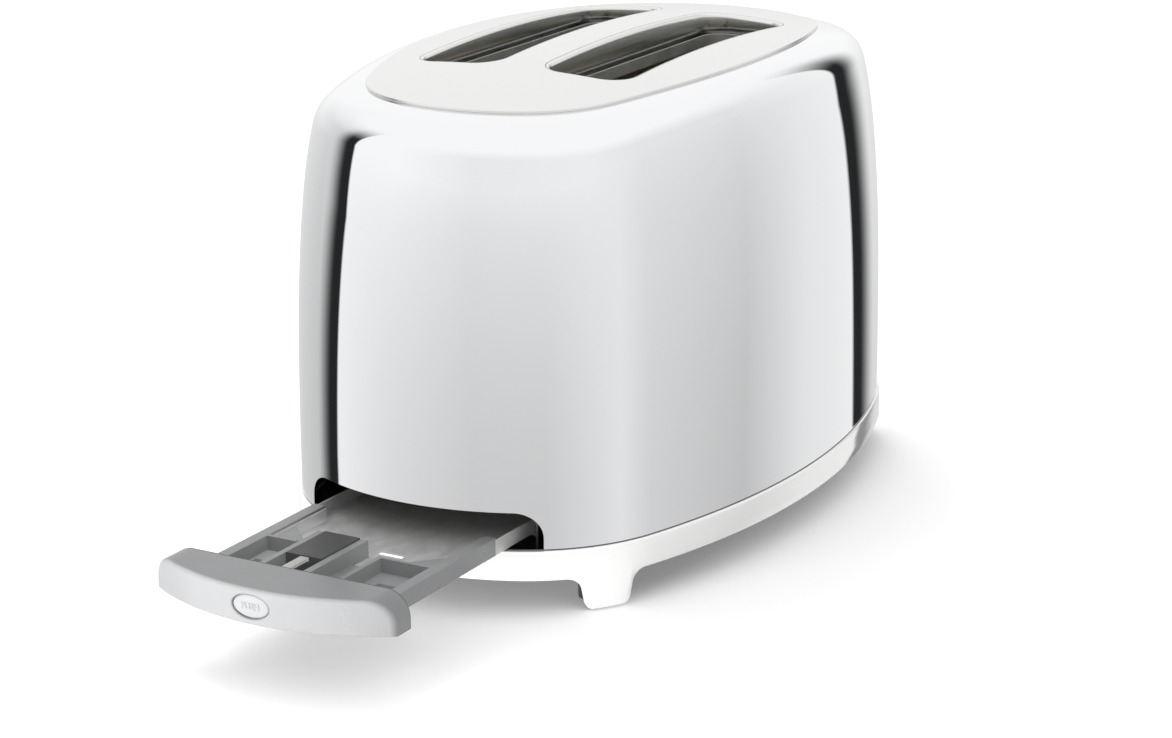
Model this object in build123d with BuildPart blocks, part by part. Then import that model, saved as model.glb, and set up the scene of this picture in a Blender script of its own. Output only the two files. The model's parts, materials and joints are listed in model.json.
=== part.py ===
"""Two-slice toaster: long oval body, pulled-out crumb tray, carriage raised.

Millimetres. X runs along the slots, -X is the crumb tray end and +X the control end.
Z is up from the worktop, the origin lies under the middle of the body.
Fit values are named clearances, so pieces follow the piece that carries them.
"""
import os
from math import asin, atan2, cos, hypot, radians, sin, sqrt, tan

from build123d import *

os.makedirs("parts", exist_ok=True)

# body outline at its foot: eight tangent arcs, each turn half of what its arc turns through
BODY_HALF_LENGTH = 155.5
BODY_HALF_WIDTH = 97.0
CORNER_RADIUS = 70.0
SIDE_TURN = 18.9
END_TURN = 25.4
CROWN_TOP = 198.0
CROWN_RADIUS_ACROSS = 500.0
CROWN_RADIUS_ALONG = 845.0
SHOULDER_RADIUS = 16.0
SHELL_WALL = 1.0
SHELL_BOTTOM = 26.0
# height above the joint as a share of the wall, inset at the ends, inset at the sides
WALL_LEAN = ((0.0, 0.0, 0.0), (0.29, 0.3, 0.3), (0.49, 1.5, 1.3), (0.66, 3.8, 3.3),
             (0.81, 7.5, 6.5), (0.925, 13.0, 11.0), (1.04, 21.5, 17.5))

# top panel and its slots
PANEL_HALF_LENGTH = BODY_HALF_LENGTH - 31.5
PANEL_HALF_WIDTH = BODY_HALF_WIDTH - 26.0
PANEL_CORNER_RADIUS = 49.0
PANEL_SIDE_TURN = 20.0
PANEL_END_TURN = 25.8
PANEL_SHEET = 1.2
PANEL_OVERLAP = 3.0
SLOT_LENGTH = 146.0
SLOT_WIDTH = 36.0
SLOT_CORNER = 10.0
SLOT_SHIFT = 4.0
SLOT_PITCH = 58.0
COLLAR_DEPTH = 8.0
COLLAR_WALL = 0.8

# base
SKIRT_PROUD = 1.2
SKIRT_WALL = 2.6
SKIRT_BOTTOM = 14.0
FOOT_BOTTOM = 0.9
FOOT_HALF_WIDTH = 11.5
FOOT_TAPER = 2.6
FOOT_FLARE = 6.5
FOOT_CORNER = 3.5
# a foot's turn round the corner arc, and how far it stands inside that arc
TRAY_FOOT = (55.1, 0.1)
CONTROL_FOOT = (41.6, 1.1)
PLATE_THICK = 2.0
PAD_RADIUS = 5.5
PAD_RECESS = 2.0
SCREW_RADIUS = 1.5
SCREW_HEAD_RADIUS = 3.0
CLEAT_HEIGHT = 8.0
VENT_WIDTH = 3.0
VENT_LENGTH = 34.0
VENT_PITCH = 12.0
VENT_COUNT = 7

# fits
GAP = 0.3
SHAFT_FIT = 0.05
SEAM = 0.3

# crumb tray, drawn pulled out
TRAY_OUT = 102.0
TRAY_OVERPUSH = 1.2
MOUTH_HALF_WIDTH = 52.4
MOUTH_HEIGHT = 15.0
MOUTH_CORNER = 10.0
HANDLE_DEPTH = 24.5
HANDLE_EDGE = 3.0
HANDLE_LIFT = 0.5
HANDLE_TOP_GAP = 0.8
ARM_OUTER = 41.0
ARM_WIDTH = 5.0
ARM_HEIGHT = 7.0
TRAY_CLEAR = 1.3
FRAME_FLOOR = 1.3
POCKET_DEPTH = 39.0
PAN_SHEET = 0.7
PAN_END_GAP = 6.0
PAN_WALL_HEIGHT = 6.0
RIB_SHORT = 25.0
BUTTON_RIB = (-0.5, 2.6)
LATCH_RIB = (19.5, 22.0)
POCKET_RIB = (-15.0, -13.0)
POCKET_SLOT = (3.0, 10.0)
BUTTON_OVAL = (15.5, 8.7)
BUTTON_DEPTH = 2.6
BUTTON_TRAVEL = 2.0
BUTTON_STEM = 2.0
BUTTON_FACE_GAP = 0.7
LATCH_SIZE = (26.0, 16.0, 6.2)
LATCH_SIDE = 11.0
TONGUE_WIDTH = 4.0
TONGUE_SHEET = 1.2
RUNNER_SHEET = 1.2
RUNNER_LEDGE = 6.0

# toasting chamber
CHAMBER_TRAY_X = SLOT_SHIFT - SLOT_LENGTH / 2 - 16.0
CHAMBER_CONTROL_X = SLOT_SHIFT + SLOT_LENGTH / 2 + 11.0
CHAMBER_HALF_WIDTH = (SLOT_PITCH + SLOT_WIDTH) / 2 + 11.0
CHASSIS_SHEET = 1.0
CHASSIS_TOP = 182.0
TRAY_PASS_HALF = ARM_OUTER + 5.5
TRAY_PASS_TOP = SHELL_BOTTOM + 10.5
GUIDE_WINDOW = SLOT_WIDTH - 3.0
WINDOW_LIP = 4.0
CARD_SHEET = 0.6
CARD_Y_OUTER = CHAMBER_HALF_WIDTH - 5.0
CARD_Y_INNER = 5.5
CARD_BOTTOM = 56.0
CARD_CLEARANCE = 0.97
CARD_TOP = 176.0
RIBBON_HEIGHT = 1.6
RIBBON_SHEET = 0.3
RIBBON_COUNT = 9
RIBBON_PITCH = 12.0
GUARD_OPEN = SLOT_WIDTH / 2 - 2.0
GUARD_CLOSE = 7.0
GUARD_WIRE = 0.8
GUARD_RAIL = 1.0
GUARD_RAIL_LOW = 62.0
GUARD_RAIL_HIGH = 168.0
GUARD_COUNT = 7
GUARD_PITCH = (SLOT_LENGTH - 2.0) / (GUARD_COUNT - 1)

# carriage
CARRIAGE_TRAVEL = 45.0
RACK_TOP = 100.0
RACK_SHEET = 1.4
RACK_HEIGHT = 8.0
RACK_START = CHAMBER_TRAY_X + 13.0
RACK_FINGER = 1.2
RACK_FINGER_HALF = 5.5
RACK_FINGER_COUNT = 6
BRACKET_X = CHAMBER_CONTROL_X + 4.5
BRACKET_SHEET = 1.5
BRACKET_HALF_WIDTH = SLOT_PITCH / 2 + 7.0
BRACKET_BOTTOM = 94.0
BRACKET_TOP = 160.0
ROD_X = BRACKET_X + 13.5
ROD_RADIUS = 2.5
SLIDER_HALF = 6.5
SLIDER_BOTTOM = 118.0
LEVER_Z = 154.0
LEVER_HEIGHT = 7.0
LEVER_SHEET = 2.6
LEVER_SLOT = 5.0
BALL_RADIUS = 12.0
BALL_BANDS = 12
BALL_X = BODY_HALF_LENGTH + 12.5
SPRING_Y = 22.0
SPRING_RADIUS = 3.5
SPRING_LENGTH = 40.0
TOP_BRACKET_Z = 172.0
MAGNET_Y = 19.0
KEEPER_SHEET = 2.0

# control end
CONTROL_TOP = 63.0
CONTROL_HALF_WIDTH = 52.0
CONTROL_CORNER = 12.0
CONTROL_SHEET = 3.0
CONTROL_Z = 44.0
BOARD_BEHIND_KEYS = 16.8
BOARD_SHEET = 1.6
BOARD_HALF_WIDTH = 50.0
BOARD_TOP = 66.0
DIAL_RADIUS = 15.0
DIAL_DEPTH = 13.0
DIAL_SHAFT = 3.0
KEY_RADIUS = 4.6
KEY_STEM = 2.0
KEY_PROUD = 1.6
KEY_TRAVEL = 1.5
KEY_Y = (-41.0, -28.0, 28.0, 41.0)
KEY_NAMES = ("stop_button", "defrost_button", "reheat_button", "bagel_button")


def outline_radii(half_length, half_width, corner_radius, side_turn, end_turn):
    """Side and end radius, in whole millimetres, of an oval whose arcs turn like this."""
    side, end = radians(side_turn), radians(end_turn)
    along = half_length - corner_radius * (cos(end) - sin(side))
    across = half_width - corner_radius * (cos(side) - sin(end))
    share = sin(side) * sin(end) - (1 - cos(end)) * (1 - cos(side))
    side_radius = (along * sin(end) - (1 - cos(end)) * across) / share
    end_radius = (sin(side) * across - (1 - cos(side)) * along) / share
    return round(side_radius), round(end_radius)


SIDE_RADIUS, END_RADIUS = outline_radii(BODY_HALF_LENGTH, BODY_HALF_WIDTH, CORNER_RADIUS,
                                        SIDE_TURN, END_TURN)
PANEL_SIDE_RADIUS, PANEL_END_RADIUS = outline_radii(
    PANEL_HALF_LENGTH, PANEL_HALF_WIDTH, PANEL_CORNER_RADIUS, PANEL_SIDE_TURN, PANEL_END_TURN)


def corner_centre(half_length, half_width, side_radius, end_radius, corner_radius):
    """Centre of the arc that joins a side arc to an end arc."""
    side_y = half_width - side_radius
    end_x = half_length - end_radius
    to_side = side_radius - corner_radius
    to_end = end_radius - corner_radius
    span = hypot(end_x, side_y)
    along = (to_side ** 2 - to_end ** 2 + span ** 2) / (2 * span)
    across = sqrt(to_side ** 2 - along ** 2)
    ux, uy = end_x / span, -side_y / span
    return ux * along + uy * across, side_y + uy * along - ux * across


def outline_marks(half_length, half_width, side_radius, end_radius, corner_radius):
    """Joint of side and corner arc, middle of the corner, joint of corner and end arc."""
    cx, cy = corner_centre(half_length, half_width, side_radius, end_radius, corner_radius)
    side = atan2(cy - (half_width - side_radius), cx)
    end = atan2(cy, cx - (half_length - end_radius))
    mid = (side + end) / 2
    side_x = side_radius * cos(side)
    side_y = half_width - side_radius + side_radius * sin(side)
    end_x = half_length - end_radius + end_radius * cos(end)
    end_y = end_radius * sin(end)
    return ((side_x, side_y), (cx + corner_radius * cos(mid), cy + corner_radius * sin(mid)),
            (end_x, end_y))


def oval_face(half_length, half_width, side_radius, end_radius, corner_radius):
    """Closed outline of eight tangent arcs, about the origin of the sketch."""
    (sx, sy), (mx, my), (ex, ey) = outline_marks(
        half_length, half_width, side_radius, end_radius, corner_radius)
    with BuildSketch(mode=Mode.PRIVATE) as oval:
        with BuildLine():
            ThreePointArc((-sx, sy), (0, half_width), (sx, sy))
            ThreePointArc((sx, sy), (mx, my), (ex, ey))
            ThreePointArc((ex, ey), (half_length, 0), (ex, -ey))
            ThreePointArc((ex, -ey), (mx, -my), (sx, -sy))
            ThreePointArc((sx, -sy), (0, -half_width), (-sx, -sy))
            ThreePointArc((-sx, -sy), (-mx, -my), (-ex, -ey))
            ThreePointArc((-ex, -ey), (-half_length, 0), (-ex, ey))
            ThreePointArc((-ex, ey), (-mx, my), (-sx, sy))
        make_face()
    return oval.sketch_local


def body_oval(inset_end=0.0, inset_side=None):
    """The body outline, drawn in by an inset at its ends and at its sides."""
    inset_side = inset_end if inset_side is None else inset_side
    mean = (inset_end + inset_side) / 2
    return oval_face(BODY_HALF_LENGTH - inset_end, BODY_HALF_WIDTH - inset_side,
                     SIDE_RADIUS - mean, END_RADIUS - mean, CORNER_RADIUS - mean)


def panel_oval(inset=0.0):
    """The top panel's outline, drawn in by an inset."""
    return oval_face(PANEL_HALF_LENGTH - inset, PANEL_HALF_WIDTH - inset,
                     PANEL_SIDE_RADIUS - inset, PANEL_END_RADIUS - inset,
                     PANEL_CORNER_RADIUS - inset)


def end_x_at(y, inset=0.0):
    """Where the body outline stands at the control end, for a distance from the middle."""
    radius = END_RADIUS - inset
    return BODY_HALF_LENGTH - END_RADIUS + sqrt(radius ** 2 - y ** 2)


def crown_rise(x, y=0.0, drop=0.0):
    """Height of the crowned top, or of a surface that far under it."""
    reach = CROWN_RADIUS_ALONG - CROWN_RADIUS_ACROSS + sqrt((CROWN_RADIUS_ACROSS - drop) ** 2
                                                            - y ** 2)
    return CROWN_TOP - CROWN_RADIUS_ALONG + sqrt(reach ** 2 - x ** 2)


def crown(drop=0.0):
    """Everything under the body's crown, which is curved both ways."""
    reach = BODY_HALF_WIDTH + 15
    end = BODY_HALF_LENGTH + 15
    with BuildPart(mode=Mode.PRIVATE) as under:
        for share in (-1, -0.5, 0, 0.5, 1):
            x = share * end
            edge, ridge = crown_rise(x, reach, drop), crown_rise(x, 0, drop)
            with BuildSketch(Plane.YZ.offset(x)):
                with BuildLine():
                    ThreePointArc((-reach, edge), (0, ridge), (reach, edge))
                    Polyline((reach, edge), (reach, 0), (-reach, 0), (-reach, edge))
                make_face()
        loft()
    return under.part


def body_form(wall=0.0):
    """The shell's outside, or the space inside it when a wall is given."""
    rise = CROWN_TOP - SHELL_BOTTOM
    with BuildPart(mode=Mode.PRIVATE) as form:
        for share, inset_end, inset_side in WALL_LEAN:
            with BuildSketch(Plane.XY.offset(SHELL_BOTTOM + rise * share)):
                add(body_oval(inset_end + wall, inset_side + wall))
        loft()
        add(crown(PANEL_SHEET + wall), mode=Mode.INTERSECT)
        top = form.faces().sort_by(Axis.Z)[-1]
        fillet(top.edges(), SHOULDER_RADIUS - wall)
    return form.part


def save(built, label):
    built.part.label = label
    export_step(built.part, f"parts/{label}.step")


def block(x0, x1, y0, y1, z0, z1, mode=Mode.ADD):
    """A box between six planes, in the part being built."""
    with Locations(((x0 + x1) / 2, (y0 + y1) / 2, (z0 + z1) / 2)):
        Box(x1 - x0, y1 - y0, z1 - z0, mode=mode)


def post(x, y, z0, z1, radius, mode=Mode.ADD):
    """An upright round bar."""
    with Locations((x, y, (z0 + z1) / 2)):
        Cylinder(radius, z1 - z0, mode=mode)


def rod_x(x0, x1, y, z, radius, mode=Mode.ADD):
    """A round bar along the toaster."""
    with Locations(Location(((x0 + x1) / 2, y, z), (0, 90, 0))):
        Cylinder(radius, x1 - x0, mode=mode)


def wire(start, along, length, radius):
    """A thin straight wire, six-sided."""
    with BuildPart(mode=Mode.PRIVATE) as form:
        with BuildSketch(Plane(origin=start, x_dir=(0, 1, 0), z_dir=along)):
            RegularPolygon(radius, 6)
        extrude(amount=length)
    return form.part


def arch(half_width, top, corner, x0, x1, bottom=SHELL_BOTTOM):
    """A straight-footed arch profile, carried along X."""
    with BuildPart(mode=Mode.PRIVATE) as form:
        with BuildSketch(Plane.YZ.offset(x0)):
            with Locations((0, (bottom + top) / 2)):
                Rectangle(2 * half_width, top - bottom)
            upper = [v for v in vertices() if v.Y > (bottom + top) / 2]
            fillet(upper, corner)
        extrude(amount=x1 - x0)
    return form.part


def slot_sketch(grow=0.0):
    """Both bread slots, a little bowed at their ends."""
    for side in (-1, 1):
        with Locations((SLOT_SHIFT, side * SLOT_PITCH / 2)):
            RectangleRounded(SLOT_LENGTH + 2 * grow, SLOT_WIDTH + 2 * grow, SLOT_CORNER + grow)


TRAY_FLOOR = SHELL_BOTTOM + TRAY_CLEAR
SLOT_Y = SLOT_PITCH / 2
HANDLE_BOTTOM = SHELL_BOTTOM + HANDLE_LIFT
HANDLE_TOP = SHELL_BOTTOM + MOUTH_HEIGHT - HANDLE_TOP_GAP
HANDLE_HALF = MOUTH_HALF_WIDTH - 0.5
HANDLE_BACK = -BODY_HALF_LENGTH + HANDLE_DEPTH - TRAY_OUT
HANDLE_FRONT = -BODY_HALF_LENGTH - TRAY_OUT
ARM_TOP = TRAY_FLOOR + ARM_HEIGHT
ARM_LENGTH = CHAMBER_TRAY_X + BODY_HALF_LENGTH + 5.5
RIB_LENGTH = ARM_LENGTH - RIB_SHORT
PLATE_TOP = SKIRT_BOTTOM + PLATE_THICK
BUTTON_Z = (HANDLE_BOTTOM + HANDLE_TOP) / 2

# outer shell
inner_space = body_form(SHELL_WALL)
with BuildPart() as outer_shell:
    add(body_form())
    add(inner_space, mode=Mode.SUBTRACT)
    with BuildSketch(Plane.XY.offset(CROWN_TOP - 30)):
        add(panel_oval(PANEL_OVERLAP))
    extrude(amount=60, mode=Mode.SUBTRACT)
    add(arch(MOUTH_HALF_WIDTH, SHELL_BOTTOM + MOUTH_HEIGHT, MOUTH_CORNER,
             -BODY_HALF_LENGTH - 10, -BODY_HALF_LENGTH + 40), mode=Mode.SUBTRACT)
    add(arch(CONTROL_HALF_WIDTH + SEAM, CONTROL_TOP + SEAM, CONTROL_CORNER,
             BODY_HALF_LENGTH - 40, BODY_HALF_LENGTH + 10), mode=Mode.SUBTRACT)
    slot_low = LEVER_Z - CARRIAGE_TRAVEL - LEVER_HEIGHT / 2 - 2
    slot_high = LEVER_Z + LEVER_HEIGHT / 2 + 2
    with BuildSketch(Plane.YZ.offset(BODY_HALF_LENGTH - 40)):
        with Locations((0, (slot_low + slot_high) / 2)):
            SlotOverall(slot_high - slot_low, LEVER_SLOT, rotation=90)
    extrude(amount=60, mode=Mode.SUBTRACT)
save(outer_shell, "outer_shell")

# top panel: crowned plate with two turned-down bread slots
panel_space = crown()
with BuildPart() as top_panel:
    with BuildSketch(Plane.XY.offset(CROWN_TOP - 30)):
        add(panel_oval())
    extrude(amount=60)
    add(panel_space, mode=Mode.INTERSECT)
    add(crown(PANEL_SHEET), mode=Mode.SUBTRACT)
    with BuildPart(mode=Mode.PRIVATE) as collars:
        with BuildSketch(Plane.XY.offset(CROWN_TOP - 5 - COLLAR_DEPTH)):
            slot_sketch(COLLAR_WALL)
        extrude(amount=40)
        add(panel_space, mode=Mode.INTERSECT)
    add(collars.part)
    with BuildSketch(Plane.XY.offset(CROWN_TOP - 40)):
        slot_sketch()
    extrude(amount=80, mode=Mode.SUBTRACT)
save(top_panel, "top_panel")


def foot_frame(turn, inset, end, side):
    """A foot's middle, on a tenth of a millimetre, and the outline's normal there."""
    cx, cy = corner_centre(BODY_HALF_LENGTH, BODY_HALF_WIDTH, SIDE_RADIUS, END_RADIUS,
                           CORNER_RADIUS)
    reach = CORNER_RADIUS - inset
    x = round(cx + reach * cos(radians(turn)), 1)
    y = round(cy + reach * sin(radians(turn)), 1)
    size = hypot(x - cx, y - cy)
    return end * x, side * y, end * (x - cx) / size, side * (y - cy) / size


FEET = [foot_frame(*foot, end, side)
        for foot, end in ((TRAY_FOOT, -1), (CONTROL_FOOT, 1)) for side in (-1, 1)]

# base skirt: a curved band whose wall runs down into four feet
with BuildPart() as base_skirt:
    with BuildSketch(Plane.XY.offset(SKIRT_BOTTOM)):
        add(body_oval(-SKIRT_PROUD))
        add(body_oval(SKIRT_WALL - SKIRT_PROUD), mode=Mode.SUBTRACT)
    extrude(amount=SHELL_BOTTOM - SKIRT_BOTTOM)
    for foot_x, foot_y, nx, ny in FEET:
        face = Plane(origin=(foot_x, foot_y, 0), x_dir=(-ny, nx, 0), z_dir=(nx, ny, 0))
        join = SKIRT_BOTTOM
        wide = FOOT_HALF_WIDTH
        with BuildPart(mode=Mode.PRIVATE) as tab:
            with BuildSketch(face.offset(-14)):
                with BuildLine():
                    Polyline((-wide - 9, join + 3), (-wide - 9, join), (-wide, join),
                             (-wide + FOOT_TAPER, FOOT_BOTTOM), (wide - FOOT_TAPER, FOOT_BOTTOM),
                             (wide, join), (wide + 9, join), (wide + 9, join + 3),
                             (-wide - 9, join + 3))
                make_face()
                fillet([v for v in vertices() if v.Y < FOOT_BOTTOM + 1], FOOT_CORNER)
                fillet([v for v in vertices() if abs(abs(v.X) - wide) < 0.01
                        and abs(v.Y - join) < 0.01], FOOT_FLARE)
            extrude(amount=28)
            with BuildSketch(Plane.XY):
                add(body_oval(-SKIRT_PROUD))
                add(body_oval(SKIRT_WALL - SKIRT_PROUD), mode=Mode.SUBTRACT)
            extrude(amount=SHELL_BOTTOM, mode=Mode.INTERSECT)
        add(tab.part)
save(base_skirt, "base_skirt")

# base plate: closes the bottom, carries the chassis, the runners and the pads
POST_RADIUS = PAD_RADIUS + 2.0
PAD_SPOTS = []
for foot_x, foot_y, normal_x, normal_y in FEET:
    inward = SKIRT_WALL + POST_RADIUS + GAP
    PAD_SPOTS.append((foot_x - normal_x * inward, foot_y - normal_y * inward))
CLEAT_SPOTS = ((-52.0, 0.0), (52.0, 0.0))
BUSH_SPOT = (66.0, BODY_HALF_WIDTH - 31.0)
BUSH_RADIUS = 6.0
CHASSIS_FLANGE = 11.0
FLANGE_Y = (TRAY_PASS_HALF + CHAMBER_HALF_WIDTH) / 2
SCREW_SPOTS = [(x, y) for x in (CHAMBER_TRAY_X - CHASSIS_FLANGE / 2 - CHASSIS_SHEET,
                                CHAMBER_CONTROL_X + CHASSIS_FLANGE / 2 + CHASSIS_SHEET)
               for y in (-FLANGE_Y, FLANGE_Y)]

with BuildPart() as base_plate:
    with BuildSketch(Plane.XY.offset(SKIRT_BOTTOM)):
        add(body_oval(SKIRT_WALL - SKIRT_PROUD + GAP))
    extrude(amount=PLATE_THICK)
    for spot_x, spot_y in PAD_SPOTS:
        post(spot_x, spot_y, FOOT_BOTTOM + 1, SKIRT_BOTTOM, POST_RADIUS)
        post(spot_x, spot_y, FOOT_BOTTOM + 1, FOOT_BOTTOM + 1 + PAD_RECESS, PAD_RADIUS,
             mode=Mode.SUBTRACT)
    for spot_x, spot_y in SCREW_SPOTS:
        post(spot_x, spot_y, SKIRT_BOTTOM, PLATE_TOP, SCREW_RADIUS + SHAFT_FIT,
             mode=Mode.SUBTRACT)
    post(*BUSH_SPOT, SKIRT_BOTTOM, PLATE_TOP, BUSH_RADIUS + SHAFT_FIT, mode=Mode.SUBTRACT)
    with BuildSketch(Plane.XY.offset(SKIRT_BOTTOM)):
        with GridLocations(VENT_PITCH, VENT_LENGTH + 18, VENT_COUNT, 2):
            Rectangle(VENT_WIDTH, VENT_LENGTH)
    extrude(amount=PLATE_THICK, mode=Mode.SUBTRACT)
save(base_plate, "base_plate")

with BuildPart() as rubber_feet:
    for spot_x, spot_y in PAD_SPOTS:
        post(spot_x, spot_y, 0, FOOT_BOTTOM + 1 + PAD_RECESS, PAD_RADIUS - SHAFT_FIT)
save(rubber_feet, "rubber_feet")

with BuildPart() as base_screws:
    for spot_x, spot_y in SCREW_SPOTS:
        post(spot_x, spot_y, SKIRT_BOTTOM - 1.6, SKIRT_BOTTOM, SCREW_HEAD_RADIUS)
        post(spot_x, spot_y, SKIRT_BOTTOM, PLATE_TOP + CHASSIS_SHEET + 1.5, SCREW_RADIUS)
    chamfer(base_screws.edges().group_by(Axis.Z)[0], 0.6)
save(base_screws, "base_screws")

# two L-shaped cleats under the floor that the flex winds round
with BuildPart() as cord_cleats:
    for spot_x, spot_y in CLEAT_SPOTS:
        out = 1 if spot_x > 0 else -1
        low = SKIRT_BOTTOM - CLEAT_HEIGHT
        block(spot_x - 1.5, spot_x + 1.5, -9, 9, low, SKIRT_BOTTOM)
        ends = sorted((spot_x - 1.5 * out, spot_x + 12 * out))
        block(ends[0], ends[1], -9, 9, low, low + 2)
save(cord_cleats, "cord_cleats")

with BuildPart() as cord_bush:
    post(*BUSH_SPOT, SKIRT_BOTTOM - 2, SKIRT_BOTTOM, BUSH_RADIUS + 2)
    post(*BUSH_SPOT, SKIRT_BOTTOM, PLATE_TOP + 4, BUSH_RADIUS)
    post(*BUSH_SPOT, SKIRT_BOTTOM - 2, PLATE_TOP + 4, 3.6, mode=Mode.SUBTRACT)
save(cord_bush, "cord_bush")

# chassis: two end plates and a top plate with the bread windows
RAIL_SLOT = 2 * GUARD_RAIL + 2 * GAP
GUARD_TRACKS = []
for slot_y in (-SLOT_Y, SLOT_Y):
    GUARD_TRACKS.append((slot_y - GUARD_OPEN, slot_y - GUARD_OPEN + GUARD_CLOSE))
    GUARD_TRACKS.append((slot_y + GUARD_OPEN - GUARD_CLOSE, slot_y + GUARD_OPEN))


def end_plate(x0, flange_side, rack_slots):
    """Upright sheet across the chamber, with guard tracks and a pass for the tray."""
    x1 = x0 + CHASSIS_SHEET
    with BuildPart(mode=Mode.PRIVATE) as plate:
        block(x0, x1, -CHAMBER_HALF_WIDTH, CHAMBER_HALF_WIDTH, PLATE_TOP,
              CHASSIS_TOP - CHASSIS_SHEET)
        block(x0, x1, -TRAY_PASS_HALF, TRAY_PASS_HALF, PLATE_TOP, TRAY_PASS_TOP,
              mode=Mode.SUBTRACT)
        outer = sorted((x0 if flange_side < 0 else x1,
                        (x0 if flange_side < 0 else x1) + flange_side * CHASSIS_FLANGE))
        for side in (-1, 1):
            ys = sorted((side * TRAY_PASS_HALF, side * CHAMBER_HALF_WIDTH))
            block(outer[0], outer[1], ys[0], ys[1], PLATE_TOP, PLATE_TOP + CHASSIS_SHEET)
        for spot_x, spot_y in SCREW_SPOTS:
            post(spot_x, spot_y, PLATE_TOP, PLATE_TOP + CHASSIS_SHEET,
                 SCREW_RADIUS + SHAFT_FIT, mode=Mode.SUBTRACT)
        for low, high in GUARD_TRACKS:
            for rail_z in (GUARD_RAIL_LOW, GUARD_RAIL_HIGH):
                block(x0, x1, low - RAIL_SLOT / 2, high + RAIL_SLOT / 2,
                      rail_z - RAIL_SLOT / 2, rail_z + RAIL_SLOT / 2, mode=Mode.SUBTRACT)
        for slot_y in rack_slots:
            with BuildSketch(Plane.YZ.offset(x0)):
                low = RACK_TOP - CARRIAGE_TRAVEL - RACK_HEIGHT - 3
                with Locations((slot_y, (low + RACK_TOP + 3) / 2)):
                    SlotOverall(RACK_TOP + 3 - low, 5.0, rotation=90)
            extrude(amount=CHASSIS_SHEET, mode=Mode.SUBTRACT)
    return plate.part


with BuildPart() as tray_end_plate:
    add(end_plate(CHAMBER_TRAY_X - CHASSIS_SHEET, -1, ()))
save(tray_end_plate, "tray_end_plate")

ROD_FOOT = PLATE_TOP
with BuildPart() as control_end_plate:
    add(end_plate(CHAMBER_CONTROL_X, 1, (-SLOT_Y, SLOT_Y)))
    block(CHAMBER_CONTROL_X + CHASSIS_SHEET, ROD_X + 7, -SPRING_Y - 6, SPRING_Y + 6,
          TOP_BRACKET_Z, TOP_BRACKET_Z + CHASSIS_SHEET)
    post(ROD_X, 0, TOP_BRACKET_Z, TOP_BRACKET_Z + CHASSIS_SHEET, ROD_RADIUS + SHAFT_FIT,
         mode=Mode.SUBTRACT)
save(control_end_plate, "control_end_plate")

with BuildPart() as chamber_top_plate:
    low = CHASSIS_TOP - CHASSIS_SHEET
    block(CHAMBER_TRAY_X - CHASSIS_SHEET, CHAMBER_CONTROL_X + CHASSIS_SHEET,
          -CHAMBER_HALF_WIDTH, CHAMBER_HALF_WIDTH, low, CHASSIS_TOP)
    for slot_y in (-SLOT_Y, SLOT_Y):
        with BuildSketch(Plane.XY.offset(low)):
            with Locations((SLOT_SHIFT, slot_y)):
                RectangleRounded(SLOT_LENGTH - 4, GUIDE_WINDOW + 1.6, 8.8)
        extrude(amount=CHASSIS_SHEET + WINDOW_LIP)
    for slot_y in (-SLOT_Y, SLOT_Y):
        with BuildSketch(Plane.XY.offset(low)):
            with Locations((SLOT_SHIFT, slot_y)):
                RectangleRounded(SLOT_LENGTH - 5.6, GUIDE_WINDOW, 8)
        extrude(amount=CHASSIS_SHEET + WINDOW_LIP, mode=Mode.SUBTRACT)
save(chamber_top_plate, "chamber_top_plate")


def reflector(side):
    """Bent side sheet whose foot slopes in over the tray, so crumbs fall into it.

    The slope starts beside the tray and passes close under the outer card's lower edge.
    """
    outer, sheet = CHAMBER_HALF_WIDTH, 0.8
    foot, foot_z = ARM_OUTER + 2.5, TRAY_PASS_TOP + 2
    card_edge = CARD_Y_OUTER + CARD_SHEET / 2
    lean = (atan2(CARD_BOTTOM - foot_z, card_edge - foot)
            - asin(CARD_CLEARANCE / hypot(CARD_BOTTOM - foot_z, card_edge - foot)))
    bend_z = round(foot_z + tan(lean) * (outer - sheet - foot), 1)
    with BuildPart(mode=Mode.PRIVATE) as sheet_part:
        with BuildSketch(Plane.YZ.offset(CHAMBER_TRAY_X)):
            with BuildLine():
                Polyline((side * outer, CHASSIS_TOP - CHASSIS_SHEET),
                         (side * outer, bend_z - sheet / 2),
                         (side * foot, foot_z - 1), (side * foot, foot_z),
                         (side * (outer - sheet), bend_z),
                         (side * (outer - sheet), CHASSIS_TOP - CHASSIS_SHEET), close=True)
            make_face()
        extrude(amount=CHAMBER_CONTROL_X - CHAMBER_TRAY_X)
    return sheet_part.part


with BuildPart() as near_reflector:
    add(reflector(-1))
save(near_reflector, "near_reflector")
with BuildPart() as far_reflector:
    add(reflector(1))
save(far_reflector, "far_reflector")

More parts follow.
